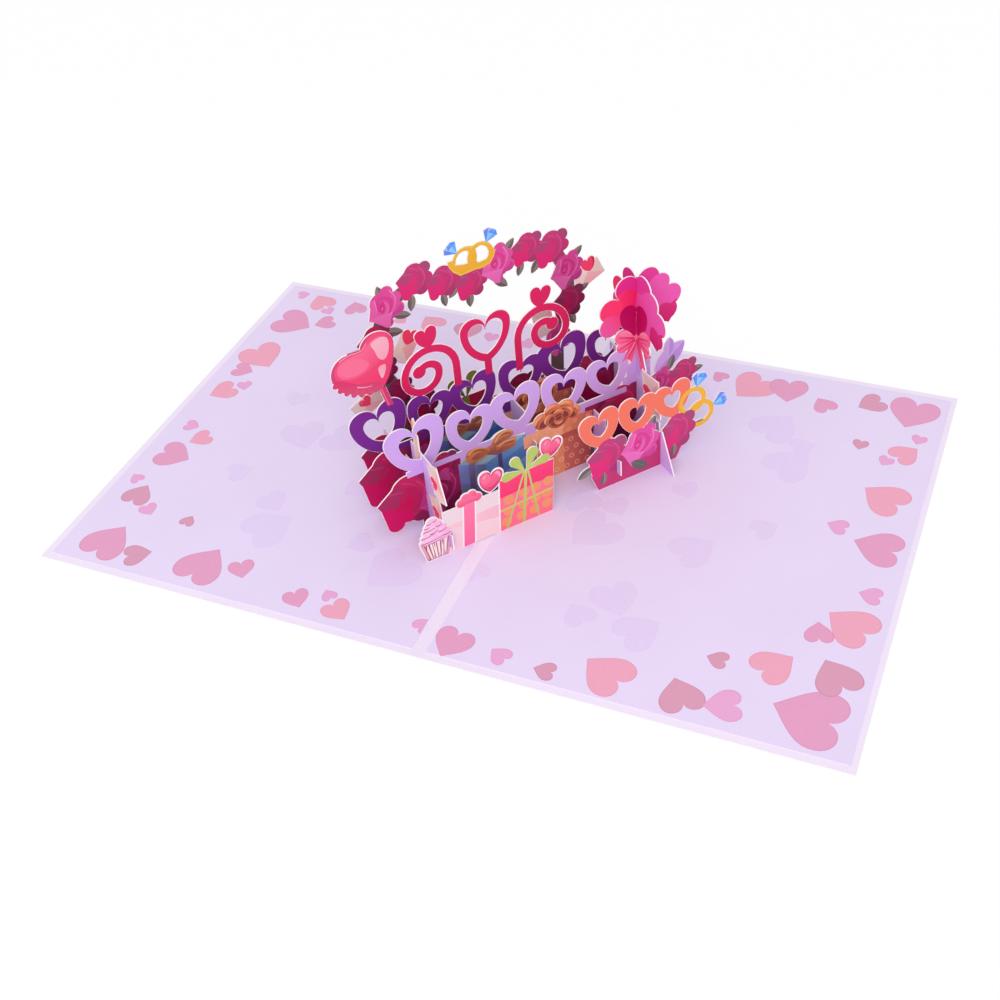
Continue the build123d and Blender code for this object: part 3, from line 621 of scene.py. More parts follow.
def draw_gem(art, x, y, wide, turn):
    """A cut stone of six facets."""
    art.begin(at(x, y, turn, wide - 2 * art.rim))
    art.ground(pairs((0, -0.5, 0.5, 0.15, 0.28, 0.4, -0.28, 0.4, -0.5, 0.15)), "gem")
    art.shape("gem_deep", 0, -0.5, -0.5, 0.15, -0.18, 0.12)
    art.shape("gem_pale", 0, -0.5, -0.18, 0.12, 0.18, 0.12)
    art.shape("gem_violet", -0.5, 0.15, -0.28, 0.4, -0.18, 0.12)
    art.shape("gem_pale", -0.28, 0.4, 0, 0.4, -0.18, 0.12)
    art.shape("gem_violet", 0, 0.4, 0.18, 0.12, -0.18, 0.12)
    art.shape("gem_deep", 0.28, 0.4, 0.5, 0.15, 0.18, 0.12)


def draw_envelope(art, x, y, wide, high, turn, seal=True):
    """A letter with its folds, and a heart for a seal."""
    w, h = wide / 2 - art.rim, high / 2 - art.rim
    art.begin(at(x, y, turn))
    art.ground(box(-w, -h, w, h), "paper")
    art.shape("paper_inner", -w, h, 0, -0.1 * h, w, h)
    art.shape("paper_back", -w, -h, 0, 0.25 * h, w, -h)
    art.shape("paper_fold", w, -h, w, h, 0.08 * w, 0.1 * h)
    art.paint(band(pairs((-w, h, 0, -0.1 * h, w, h)), 0.25), "paper_fold")
    if seal:
        art.spot = at(*to_numbers(at(x, y, turn)(0.35j * h)), turn + 8, min(wide, high) * 0.62)
        art.paint(soft_heart(1.0), "seal")
        art.blob("seal_light", -0.34, 0.1, -0.3, 0.34, -0.1, 0.34, -0.2, 0.2)


def draw_ribbon_loop(art, x, y, turn, length, ink, shade, share=0.42):
    """One loop of a flat ribbon bow."""
    art.begin(at(x, y, turn))
    art.ground(inner_drop(art, length, share), ink)
    art.paint(lens(length * 0.72, length * share * 0.16), shade)


def inner_drop(art, length, share):
    """A ribbon loop inside its rim of bare card."""
    wide = length * share
    return [p + art.rim * 0.4 for p in drop(length - 1.4 * art.rim, wide - 2 * art.rim)]


# The arch of roses
ARCH_LINE = (
    20, 4, 18, 40, 13, 51, 12, 65, 18, 78, 31, 85, 41.5, 80, 53, 76, 65, 80, 77, 82, 88, 78.5, 94, 66.5,
    94, 52, 88, 36, 87, 4,
)
ARCH_ROSES = (
    (18, 39, 6.8, 0, "dark"), (13, 51, 6.4, -6, "dark"), (12, 65, 7.2, 4, "deep"), (26, 28, 8, 6, "dark"),
    (30.5, 85, 7.3, 0, "crimson"), (41.5, 80.4, 7, -4, "crimson"), (53, 76, 6.9, 0, "crimson"),
    (77, 82, 6.9, -2, "crimson"), (87.5, 78.5, 7.7, 0, "crimson"), (94, 52, 7.4, 0, "dark"),
    (88, 36, 6.6, 30, "orchid"), (18, 78, 7.6, 38, "pink"), (64.5, 80, 7.4, 34, "pink"),
    (94, 66.5, 7.4, 22, "orchid"), (8, 14, 9, 0, "deep"), (70, 17, 10, 0, "dark"),
    (100, 14, 9.5, 0, "deep"),
)
ARCH_LEAVES = (
    (17, 81, 100, 7), (20, 74, -18, 8), (29, 80, -100, 7.5), (41, 76, -82, 6.5), (48, 77, -135, 6.5),
    (52, 73, -92, 7.5), (62, 75, -45, 8.5), (67, 83, 48, 7.5), (75, 78, -110, 7), (83, 77, -125, 8),
    (95, 70, 42, 8), (97, 55, 20, 7), (94, 48, -70, 7.5), (15, 68, -15, 9),
)
ARCH_LETTERS = (
    (23.2, 58, 58, False), (5.4, 39.4, 28, True), (103.5, 61.5, 24, False), (82.5, 46.5, 100, False),
)
LETTER = (12.5, 8.5)


def draw_bed(art, x0, x1, high):
    """The bed at a row's foot: dark petals with leaves between them."""
    art.begin()
    art.ground(art.inset(x0, 0, x1, high), ("bed_low", "bed_high", 0, 0, 0, high))
    count = int((x1 - x0) / 7)
    for k in range(count):
        art.spot = at(x0 + 5 + 7 * k, 5 + 5 * (k % 3), 35 + 77 * k)
        art.paint(lens(9, 4), "leaf_shade" if k % 2 else "leaf")
    art.spot = at(0, 0)


def draw_arch(art):
    """Arch of roses with rings, letters and a gift at its foot."""
    draw_bed(art, 6, 102, 21)
    art.begin()
    art.ground(band(pairs(ARCH_LINE), 6 - 2 * art.rim), "stalk")
    art.ground(box(10.2, 42.2, 12.8, 45.8), "leaf_shade")
    draw_leaf(art, 58, 8, 150, 11)
    draw_leaf(art, 62, 8, 40, 10)
    for x, y, turn, seal in ARCH_LETTERS:
        draw_envelope(art, x, y, *LETTER, turn, seal)
    for leaf in ARCH_LEAVES:
        draw_leaf(art, *leaf)
    draw_back_gift(art)
    for rose in ARCH_ROSES:
        draw_rose(art, *rose)
    draw_heart(art, 25.5, 62, 6.5, -25, "seal", "seal_dark")
    draw_heart(art, 103.5, 65.5, 6.5, 15, "seal", "seal_dark")
    draw_arch_rings(art)


def draw_back_gift(art):
    """A red gift with a moss bow, seen between the scrolls."""
    art.begin(at(46, 0))
    art.ground(art.inset(-10, 0, 10, 26), ("deep_red", "deep_box", 0, 26, 0, 0))
    art.paint(box(-10, 17, 10, 17.4), "seal_dark")
    for x in (-7.5, -2.5, 2.5, 7.5):
        art.paint(disc(1.4, x, 12), "dot")
        art.paint(disc(1.4, x + 2.4, 5), "dot")
    art.paint(box(-1.2, 0, 1.2, 26), "moss")
    for x in (-6, 6):
        art.paint(band(pairs((0, 26, x, 0)), 1.0), "moss")
    draw_ribbon_loop(art, 46, 25, 122, 12, "moss", "moss_shade")
    draw_ribbon_loop(art, 46, 25, 70, 12.5, "moss", "moss_shade")


# The two rows of gifts
RIGHT_ROSE = (96, 21, 10.5, 0, "deep")
BED_ROSES = ((19, 27, 6, 0, "dark"), (3.5, 16.5, 12.5, 0, "deep"), (17, 14, 10, 30, "plum"), RIGHT_ROSE)
BED_FILLS = ((8, 20, 26, 30), (80, 8, 98, 30))
RAIL_GAPS = ((25.5, 28.5), (53.5, 58.5), (77.5, 80.5))
DARK_CHAIN = (
    (3, 39.5, 23, 8), (23, 38, 19, -8), (42, 38.5, 20, 6), (62, 38, 20, -6), (81, 39.5, 22, 8),
    (100, 38, 18, -6),
)
LIGHT_CHAIN = ((9.5, 39.5, 24, 8), (31, 38, 20, -8), (51, 39, 21, 6), (71, 38, 20, -6), (91, 38, 19, 6))


def draw_gift_bed(art, ink):
    """Roses, a blue gift and an amber box, with the small gaps under the rail filled."""
    art.begin()
    for x0, x1 in RAIL_GAPS:
        art.ground(box(x0, 25, x1, RAIL_LOW + 0.4), ink)
    draw_bed(art, 8, 100, 21)
    for fill in BED_FILLS:
        art.begin()
        art.ground(art.inset(*fill), ("bed_low", "bed_high", 0, 0, 0, 28))
    for rose in BED_ROSES:
        draw_rose(art, *rose)
    draw_blue_gift(art)
    draw_round_box(art)


def draw_blue_gift(art):
    """A blue gift seen on its corner, with a ribbon. Its bronze bow is drawn with the chain."""
    rim = art.rim
    art.begin()
    art.ground(pairs((25 + rim, FOOT, 54 - rim, FOOT, 54 - rim, 26.3, 37, 29.5, 24.7 + rim, 24.1)),
               "sky_top")
    art.shape(("sky_grey", "sky_dusk", 26, 18, 34, 2), 24, -1, 36, -1, 36, 19.4, 24, 24.4)
    art.shape(("sky_band", "sky_dusk", 25, 22, 36, 17), 24, 20.2, 36, 15.2, 36, 19.4, 24, 24.4)
    art.shape("sky_band", 24, 15.6, 36, 8.6, 36, 11.4, 24, 18.6)
    art.shape(("sky", "sky_deep", 38, 20, 52, 2), 36, -1, 55, -1, 55, 26.4, 36, 19.4)
    art.shape(("sky_lid", "sky", 54, 24, 36, 17), 36, 15.2, 55, 22.2, 55, 26.6, 36, 19.4)
    art.shape("sky_lid", 43.6, 8, 55, 12.4, 55, 16.4, 43.6, 12)
    art.shape("sky_pale", 37, 20.2, 54, 26.2, 48, 27.4, 33, 20.8)
    art.shape(("ribbon", "ribbon_light", 30, 4, 30, 22), 28.8, -1, 31.2, -1, 31.4, 21.4, 29, 22.4)
    art.shape("ribbon", 41.4, -1, 43.2, -1, 43.2, 22.1, 41.4, 21.4)
    art.shape("ribbon_light", 29, 22.4, 31.4, 21.4, 46, 27.9, 43.4, 28.4)
    art.shape("ribbon_light", 41.4, 21.4, 43.2, 22.1, 33, 27.8, 31, 26.9)


def draw_bronze_bow(art):
    """The broad bow on the blue gift: three loops and a knot."""
    loops = (
        (38.8, 25.4, 36, 27.6, 32.6, 29, 29.2, 28.4, 28, 25.6, 29.2, 23, 32.4, 22.2, 36.4, 23.2),
        (38.6, 25.4, 39.6, 28.6, 42, 31.3, 45.4, 31.9, 48.2, 30.7, 48.8, 28.6, 46.6, 27.2, 42.6, 26.8),
        (39.4, 24.8, 42.4, 26.4, 46, 26.9, 49.3, 27, 49.6, 24.6, 48.8, 22.7, 45.4, 22.1, 41.8, 22.4),
    )
    folds = (
        (30.6, 24.4, 33, 26, 36.4, 26, 38.6, 25, 35.6, 23.8, 32.4, 23.4),
        (40.2, 26.4, 43, 28.4, 46.4, 29, 48.6, 28.4, 46.4, 27.2, 42.8, 26.8),
        (40.6, 23.8, 43.4, 24.4, 46.4, 24.2, 49.4, 23.8, 48.4, 22.6, 45, 22.1, 41.6, 22.4),
    )
    streaks = (
        (29, 26.4, 31.4, 28, 34.4, 27.8, 37.2, 26.4), (40.2, 27.6, 42.8, 30.2, 45.8, 30.8, 48.2, 29.8),
        (41.6, 24.9, 44.2, 25.8, 47, 25.9, 49.2, 25.6),
    )
    for loop, fold, streak in zip(loops, folds, streaks):
        art.begin()
        art.ground(smooth(*loop), ("bronze_light", "bronze", 0, max(loop[1::2]), 0, min(loop[1::2])))
        art.blob(("bronze_deep", "bronze", fold[0], 0, fold[6], 0), *fold)
        art.line(("bronze", "bronze_deep", *streak[:2], *streak[4:6]), *(n - 0.5 for n in streak),
                 wide=1.5, tip=0.5)
        art.line("bronze_shine", *(n + 0.4 for n in streak), wide=0.9, tip=0.4)
    art.begin()
    art.ground(smooth(36.6, 24, 37.2, 26.4, 39, 27.2, 40.8, 26.2, 41, 24, 39.2, 22.9),
               ("bronze", "bronze_deep", 38, 27, 40, 23))
    art.line("bronze_light", 37.6, 25.4, 38.6, 26.4, 39.8, 26.2, wide=0.5, tip=0.2)
    art.line("curl_shadow", 38, 23.6, 38.6, 24.8, 38.4, 26, wide=0.3, tip=0.1)


BOX_CORNER = 70


def draw_ring_dots(art, spots, outer, inner, lit, unlit):
    """Ring dots of the amber box, duller past its corner."""
    for x, y in spots:
        rings = ("amber_ring", lit) if x < BOX_CORNER else ("amber_dull", unlit)
        for radius, ink in zip((outer, inner), rings):
            art.paint(disc(radius, x, y, 16), ink)


def draw_round_box(art):
    """An amber box with ring dots, seen on its corner, and its lid."""
    rim = art.rim
    art.begin()
    art.ground(box(54.5 + rim, FOOT, 82 - rim, 19), ("amber_side", "amber_deep", 55, 0, BOX_CORNER, 0))
    art.paint(box(BOX_CORNER, -1, 83, 20), ("amber_low", "amber_dusk", BOX_CORNER, 0, 82, 0))
    spots = [(57.2 + 4.6 * k + 2.3 * (row % 2), 2.6 + 4.2 * row) for row in range(4) for k in range(6)]
    draw_ring_dots(art, spots, 1.15, 0.75, "amber_deep", "amber_low")
    art.paint(box(53, 16.6, 84, 19), "amber_dusk")
    art.begin()
    art.ground(pairs((52.6 + rim, 18.4 + rim, 83.5 - rim, 18.4 + rim, 83.5 - rim, 25.1, BOX_CORNER, 26.5,
                      52.6 + rim, 24.7)), ("amber_light", "amber", 53, 0, BOX_CORNER, 0))
    art.shape(("amber_deep", "amber_low", BOX_CORNER, 0, 84, 0),
              BOX_CORNER, 18, 84, 18, 84, 25.2, BOX_CORNER, 26.6)
    spots = [(54.8 + 2.95 * k, 20.3 + 3 * (k % 2)) for k in range(10)]
    draw_ring_dots(art, spots, 0.95, 0.6, "amber", "amber_deep")
    art.paint(box(52, 18, 84, 19), "amber_line")


CURLS = (
    (68, 28, 5, 10), (61.2, 28.8, 3.8, 40), (75, 28, 3.1, -50), (71.4, 31, 4, -20), (66, 31.8, 3.7, 15),
    (64.4, 28.4, 2.6, 60), (72.4, 28.6, 2.6, -60), (68.4, 29.6, 2.4, 0), (68.4, 26.6, 2.2, 180),
)


def draw_curls(art):
    """The bow of many curls on the amber box."""
    for x, y, radius, turn in CURLS:
        art.begin(at(x, y, turn, radius - art.rim))
        art.ground(disc(1), ("curl_light", "curl", -0.8, 0.8, 0.8, -0.8))
        art.blob(("curl_deep", "curl", 0, -0.9, 0, 0.3), -1.0, -0.1, -0.4, 0.16, 0.3, 0.12, 1.0, -0.3,
                 0.7, -1.0, -0.5, -1.1)
        art.blob("curl_shadow", -0.7, -0.3, -0.1, 0.02, 0.6, -0.2, 0.4, -0.7, -0.3, -0.76)
        art.line(("curl_deep", "curl", -0.8, 0, 0.8, 0), -0.9, 0.06, -0.4, 0.3, 0.3, 0.26, 0.94, -0.1,
                 wide=0.3, tip=0.14)
        art.line("curl_shine", -0.7, 0.5, -0.1, 0.72, 0.5, 0.56, wide=0.3, tip=0.1)


def draw_chain(art, end, hearts, ink, *fills):
    """The rail with its open hearts, and the two bows before it."""
    art.begin()
    art.ground(art.inset(4, RAIL_LOW, end, RAIL_HIGH), ink)
    for fill in fills:
        art.ground(fill, ink)
    for row in hearts:
        draw_open_heart(art, *row, CHAIN_OPENING, ink)
    draw_bronze_bow(art)
    draw_curls(art)


def draw_scrolls(art):
    """Second row: foil heart, crimson scrolls and a dark chain of open hearts over the gifts."""
    draw_gift_bed(art, "chain_dark")
    draw_chain(art, 100, DARK_CHAIN, "chain_dark", box(70.8, 34.8, 72.2, 36.2))
    wide = SCROLL_STROKE - 2 * art.rim
    for x, hand in ((36, 1), (62, -1)):
        art.begin(at(x, 56))
        line = scroll_line(10.5, hand)
        art.ground(band(line, wide), "flourish")
        art.ground(disc(SCROLL_STROKE * 0.85 - art.rim, line[-1].real, line[-1].imag, 20), "flourish")
    art.begin()
    for x, low, high in ((36, 46, 57), (49, 46, 53), (62, 42.5, 57)):
        art.ground(box(x - wide / 2, low, x + wide / 2, high), "flourish")
    draw_open_heart(art, 49, 62, 21, 0, FLOURISH_OPENING, "flourish")
    draw_heart(art, 25.5, 71.5, 9, 8, "flourish")
    draw_heart(art, 72.5, 71.5, 9, -8, "flourish")
    draw_foil_heart(art)


FOIL_LOBES = (
    (-5, 69, 7.4), (6.2, 75, 6.7), (-11.2, 65.2, 1.3), (-9.6, 62.6, 1.3), (-7.4, 60.6, 1.3),
    (-4.9, 58.9, 1.3), (-2, 57.8, 1.3), (1.2, 57.3, 1.3),
)
FOIL_BODY = (
    -5, 76.4, 0.2, 76.6, 3.4, 81, 12.8, 73.5, 11.4, 66.5, 9, 61, 6.4, 57.2, 3, 56.6, -3.8, 58.2, -9.6,
    61.9, -12.2, 67.2,
)
FOIL_PUCKERS = ((-9.4, 64.6), (-7, 62.8), (-4.6, 61), (-2, 60.2), (0.8, 59.8), (3.2, 59.6))
FOIL_TAIL = (4.7, 57.5, 7.3, 57.5, 9.5, 48.7, 6.9, 48.7)


def draw_foil_heart(art):
    """A foil balloon with a gathered edge and broad glints."""
    art.begin()
    art.ground(pairs(FOIL_TAIL), ("foil_deep", "foil_edge", 6, 57, 8, 49))
    art.line("foil_light", 5.6, 57, 6.6, 53, 7.6, 49, wide=0.5)
    art.begin()
    for x, y, size in FOIL_LOBES:
        art.ground(disc(size - art.rim, x, y), "foil_edge")
    art.ground(pairs(FOIL_BODY), "foil_edge")
    art.blob(("foil", "foil_red", -4, 74, 4, 60), -9.8, 73.2, -5, 76, 0, 76.2, 3.6, 80.2, 7, 81.4, 11, 79,
             12.4, 74, 11, 67, 8.6, 61, 5.8, 58, 2, 60.6, -3, 61.6, -8, 64.6, -10.8, 68.6)
    art.blob(("foil_deep", "foil_low", -2, 63, -3, 58), -11.4, 66.6, -8, 66.2, -3, 62.8, 2, 61.6, 6.4, 60,
             5.4, 56, -2, 57, -9, 61)
    art.blob(("foil_light", "foil", -6, 75, 2, 65), -9.8, 70, -8.6, 73.2, -4, 75, 0.6, 75.6, 4.4, 78.6, 8,
             79.4, 10.4, 77.4, 9, 72, 6, 69, 1, 66.4, -4, 65.6, -8, 67)
    art.blob("foil_light", -8.8, 69.6, -7.4, 72.4, -3, 73.6, 1, 72, 2.4, 69, -1, 66.8, -6, 67)
    for k, (x, y) in enumerate(FOIL_PUCKERS):
        art.line("foil_deep", x, y, x - 0.9, y - 1.5, x - 1.4 + 0.4 * k, y - 2.8, wide=0.45, tip=0.1)
    art.blob(("foil_glint", "foil_pale", 5, 78, 9, 69), 4.2, 77.4, 7.4, 78.8, 10.4, 77.8, 10.9, 74.4, 9.8,
             70.6, 8, 69.2, 6.2, 70.8, 5.2, 74.2)
    art.blob(("foil_pale", "foil_glint", 7, 67, 7, 62), 5.7, 66.4, 7.2, 67.2, 8.6, 66.8, 8, 63.8, 6.6,
             61.6, 5.8, 63.6)
    art.line("foil_glint", -3.4, 61.6, -0.6, 60.4, 2.4, 60, wide=0.5, tip=0.15)
    art.line("foil_glint", -8.4, 74.6, -4.6, 75.9, 0.4, 76.1, 2.6, 78.6, wide=0.35, tip=0.2)
    art.line("foil_red", 10.6, 79, 12.1, 74.6, 11, 67.6, 8.6, 61.6, wide=0.5, tip=0.3)


BUNCH_LOBES = (
    (-4.2, 74, 5, "bunch_1"), (4.9, 74.8, 5, "bunch_4"), (-11.4, 66.8, 4.8, "bunch_2"),
    (10, 71, 4.5, "bunch_5"), (14.8, 64.4, 4.9, "bunch_5"), (13.6, 58, 4.4, "bunch_6"),
    (-11.8, 60, 4.6, "bunch_3"),
)
BUNCH_BODY = (
    0, 77.4, 4.9, 74.8, 10, 71, 14.8, 64.4, 17.5, 57, 14.2, 52.4, 10, 54.7, 5, 55.2, 0, 50.7, -5, 55.2,
    -7.2, 58.5, -9.6, 57.2, -11.8, 60, -11.4, 66.8, -4.2, 74,
)
BOW_TAILS = (
    (-2.3, 50.5, 0.5, 50.5, -2.6, 40.3, -4.4, 42.6, -7, 41.8),
    (-0.5, 50.5, 2.3, 50.5, 6.4, 38.6, 4.4, 39, 2.7, 36.7),
)


def draw_bunch(art, middle):
    """A bunch of heart balloons on a stalk, tied with a bow."""
    art.begin(at(middle, 0))
    art.ground(box(-3 + art.rim, 34 + art.rim, 3 - art.rim, 58), ("bow_fold", "panel", 0, 50, 0, 40))
    art.begin(at(middle, 0))
    art.ground(pairs(BUNCH_BODY), "bunch_2")
    for x, y, size, ink in BUNCH_LOBES:
        art.ground(disc(size - art.rim, x, y, 36), ink)
    art.paint(box(0, 50, 20, 82), "bunch_4")
    art.blob("bunch_1", -8.9, 72.4, -8.2, 76, -4.6, 79.2, 0, 78.4, 0.2, 70, -4, 72.6)
    art.paint(box(-9, 50, 0.05, 70.6), ("bunch_2", "bunch_red", -9, 0, 0, 0))
    art.paint(disc(5.2, -4.6, 68.4, 36), ("bunch_2", "bunch_red", -9, 0, 0, 0))
    art.paint(disc(4.9, -11.4, 66.8, 36), "bunch_2")
    art.blob(("bunch_5", "bunch_rose", 14, 68, 2, 60), 0, 69.6, 4, 71.8, 7, 74.6, 11.6, 75.6, 15, 71, 19,
             69, 20.4, 63, 17, 58, 10, 52, 0, 54)
    art.blob(("bunch_6", "bunch_low", 16, 61, 12, 53), 9.4, 58.6, 10.6, 61.6, 13.6, 61.4, 15, 60.6, 17.6,
             61.6, 19.4, 58.6, 17, 54, 13.4, 51, 10, 53.6)
    art.blob(("bunch_3", "bunch_2", -14, 58, -5, 64), -6.6, 61.8, -8.4, 63.8, -11.6, 64.8, -15, 64, -17,
             60, -15, 54, -9, 54.6, -6.8, 57.6)
    art.paint([p + 58.9j for p in heart(15.2)], ("bunch_shade", "bunch_heart", -6, 60, 7, 57))
    for tail in BOW_TAILS:
        art.begin(at(middle, 0))
        art.ground(pairs(tail), ("bow_fold", "bow", 0, 49, 0, 39))
        tip = complex((tail[4] + tail[8]) / 2, (tail[5] + tail[9]) / 2)
        art.line("bow_deep", 0.2, 50, tip.real * 0.4, 46, tip.real * 0.86, tip.imag + 1.6, wide=0.5,
                 tip=0.2)
        art.line("bow_glint", -0.9, 49, tip.real * 0.4 - 1.3, 45.6, tip.real - 1.1, tip.imag + 1.4,
                 wide=0.45, tip=0.15)
    for turn, length in ((-14, 9.5), (194, 9.5), (24, 10.5), (156, 10.5)):
        hand = 1 if abs(turn) < 90 else -1
        art.begin(at(middle, 50.5, turn))
        art.ground(inner_drop(art, length, 0.62), ("bow_fold", "bow", 0.5, 0, 6, 0))
        art.blob(("bow", "bow_light", 1, 0, 8, 0), 0.4, 0, 3, 1.1 * hand, 7.6, 2.2 * hand, 9.6,
                 0.8 * hand, 6, 0.5 * hand)
        art.line("bow_deep", 0.4, 0, 4, -0.2 * hand, 8.8, -0.5 * hand, wide=0.75, tip=0.25)
        art.line("bow_deep", 1, -0.6 * hand, 4, -1.7 * hand, 7, -2.2 * hand, wide=0.4, tip=0.15)
        art.line("bow_glint", 3.4, 1.5 * hand, 6, 2.3 * hand, 8.8, 1.9 * hand, wide=0.6, tip=0.2)
    art.begin(at(middle, 50.9))
    art.ground(oval(2.6, 3.2), ("bow_light", "bow_fold", -1, 1.6, 1, -1.6))
    art.line("bow_deep", -0.6, -1.2, -0.2, 0, -0.4, 1.2, wide=0.3, tip=0.1)


def draw_hearts(art):
    """Third row: a pale chain of open hearts over the gifts, roses and half of the bunch."""
    draw_gift_bed(art, "chain_light")
    art.begin()
    art.ground(art.inset(86, 14, 112, 30), ("bed_low", "panel_shade", 98, 0, 102, 0))
    art.ground(art.inset(99, 14, 110, 40), ("panel", "panel_shade", 0, 40, 0, 14))
    art.ground(box(97.2, 29.4, 99.6, 34.2), "panel")
    draw_rose(art, *RIGHT_ROSE)
    draw_chain(art, 99, LIGHT_CHAIN, "chain_light")
    for fin in ((112, 31, 36, 17), (118, 36, 84, 9)):
        draw_leaf(art, *fin, 0.55, "panel", "panel_shade", "panel_light")
    for leaf in ((127, 25, 2, 8), (118, 29, 70, 8)):
        draw_leaf(art, *leaf)
    draw_rose(art, 115, 25, 6.4, 30, "orchid")
    draw_rose(art, 125, 25.3, 7, 0, "crimson")
    draw_bunch(art, 104)


# The front slices
ICING = (
    (5.6, 10, 14.2, 4.6), (5.5, 12, 12.8, 5.2), (5.3, 14.2, 10.8, 5.2), (5, 16.4, 8.2, 5),
    (4.7, 18.4, 5.2, 4.2),
)
ICING_LINES = (
    (-1.4, 9, 8.5, 0.4), (-1.2, 8.4, 9.5, 0.5), (8.4, 12.4, 10.2, 0.8), (-0.8, 5.2, 12, 0.5),
    (6.8, 11, 12.6, 1.4), (0.8, 5.6, 14.8, 0.4), (6, 9.2, 15.6, 1.1), (1.2, 3.6, 16.2, 0),
    (2.4, 4.4, 17.8, 0.2), (5, 6.6, 18.3, 0.6), (3.2, 6.8, 13, 0.7),
)


def draw_cake(art):
    """A small iced cake in a pleated case."""
    rim = art.border * 0.7
    art.begin()
    art.ground(pairs((0.9 + rim, rim, 10 - rim, rim, 12.7 - 1.2 * rim, 9.6, -1.5 + 1.2 * rim, 9)),
               "cup_line")
    for k in range(8):
        low, high = 1.5 + 1.06 * k, -1.05 + 1.66 * k
        lean = 0.25 * (k % 3 - 1)
        art.shape("cup_fold" if k in (0, 7) else "cup_paper", low, 0.7, low + 0.72, 0.6, high + 1.16, 8.8,
                  high + lean, 8.8)
        if k % 2:
            art.shape("cup_line", high + 0.2, 9, high + 1.0, 9, high + 0.66, 5.2)
        else:
            art.shape("cup_line", low + 0.16, 0.4, low + 0.56, 0.4, low + 0.4, 3.4)
    art.begin()
    for x, y, wide, high in ICING:
        ink = ("cake_light", "cake", x - 4, y, x + 6, y - 2)
        art.ground(oval(wide - 2 * rim, high - 2 * rim, x, y), ink)
    for x0, x1, up, rise in ICING_LINES:
        art.line("cake_line", x0, up, x0 * 0.6 + x1 * 0.4, up - 0.16, x0 * 0.2 + x1 * 0.8,
                 up + rise * 0.5, x1, up + rise, wide=0.46, tip=0.18)
    art.line("cake_line", 8.8, 17.8, 9.8, 15.4, 11.2, 13.4, 11.8, 11, wide=0.5, tip=0.2)
    for x, y in ((1.4, 10.8), (2.2, 13.4), (6.4, 11.4), (3, 15.6), (7, 13.8)):
        art.line("cake_glint", x, y, x + 1.4, y + 0.1, x + 2.6, y + 0.5, wide=0.5, tip=0.1)


def draw_white_gift(art):
    """A pale gift with a rosy ribbon and a ruffled bow."""
    rim = art.rim
    art.begin()
    art.ground(box(9 + rim, FOOT, 32.6, 20.5 - rim), "white_gift")
    art.shape(("white_low", "white_gift", 20, 2, 20, 16), 9, 0, 33, 0, 33, 7.6, 9, 11.8)
    art.shape(("white_shade", "white_mid", 9, 12, 33, 10), 9, 13.2, 33, 13.9, 33, 7.6, 9, 11.8)
    art.shape("white_edge", 15.7, 0, 21.4, 0, 23.1, 20.5, 17.4, 20.5)
    art.shape(("rosy", "rosy_shade", 0, 20, 0, 0), 16.3, 0, 20.8, 0, 22.5, 20.5, 18, 20.5)
    art.shape("white_edge", 31.4, 0, 31.9, 0, 33.0, 20.5, 32.3, 20.5)
    for x, y in ((17, 21.4), (23.6, 21.6), (19, 23.2), (21.6, 23.6)):
        art.begin(at(x, y))
        art.ground(disc(2.2 - art.border * 0.6, steps=22), ("ruffle", "ruffle_shade", -1, 1.6, 1, -1.6))
        art.line("rosy_shade", -1.2, -0.8, 0, 0.3, 1.2, 0.2, wide=0.35, tip=0.15)
    art.begin()
    art.mask(box(15.2, 19.6, 25.4, 23.4))
    art.blob(("ruffle", "ruffle_shade", 0, 23, 0, 20), 15.4, 20.4, 17, 22, 20, 23.2, 23.4, 22.2, 25.2,
             20.4, 20, 20.2)
    art.line("rosy_shade", 18.6, 20.6, 19.2, 21.8, 20.6, 22.6, wide=0.3, tip=0.15)
    art.line("rosy_shade", 22.4, 20.6, 22, 21.6, 21.2, 22.4, wide=0.3, tip=0.15)


RED_DOTS = (
    (36.3, 14), (42.9, 14.6), (48, 15), (53.2, 15.4), (36, 8.6), (42.3, 9), (47.6, 9.4), (52.4, 9.9),
    (34.8, 3.8), (41.2, 4.1), (46.7, 4.4), (52.2, 4.9),
)
LIME_LOOPS = (
    (44.5, 24.6, 178, 10.5), (44.5, 25, 12, 10.5), (44.5, 23.4, 122, 10.5), (44.5, 23.4, 70, 11.5),
)


def draw_red_gift(art):
    """A red gift with large dots, tied with a lime ribbon."""
    rim = art.rim
    art.begin()
    art.ground(pairs((31.9, FOOT, 54.6 - rim, FOOT, 56.2 - rim, 25 - rim, 33.2, 24.4 - rim)),
               ("red_box", "red_low", 44, 16, 44, 0))
    art.shape(("red_lid", "red_edge", 44, 25, 44, 16), 30, 16, 58, 17.2, 58, 26, 30, 26)
    for x, y in RED_DOTS:
        art.paint(disc(2.2, x, y, 26), "dot")
    art.line("red_edge", 34.6, 16.5, 36.3, 17.1, 38, 16.6, wide=0.5)
    art.paint(band(pairs((32, 9.9, 57, 11.4)), 0.85), "lime")
    for x0, x1, wide in ((43.6, 34.6, 0.75), (45.2, 48.6, 0.75), (44.3, 42, 1.15)):
        art.paint(band(pairs((x0, 24.6, x1, 0)), wide), ("lime", "lime_shade", 44, 24, 44, 0))
    for loop in LIME_LOOPS:
        draw_ribbon_loop(art, *loop, "lime_bow", "lime")


def draw_gifts(art):
    """Front left slice: a white gift, a red gift, two glossy hearts and the iced cake."""
    draw_white_gift(art)
    draw_balloon_heart(art, 55, 30.6, 9.8, -14)
    draw_red_gift(art)
    draw_balloon_heart(art, 29.6, 26.2, 10.6, -8)
    draw_cake(art)


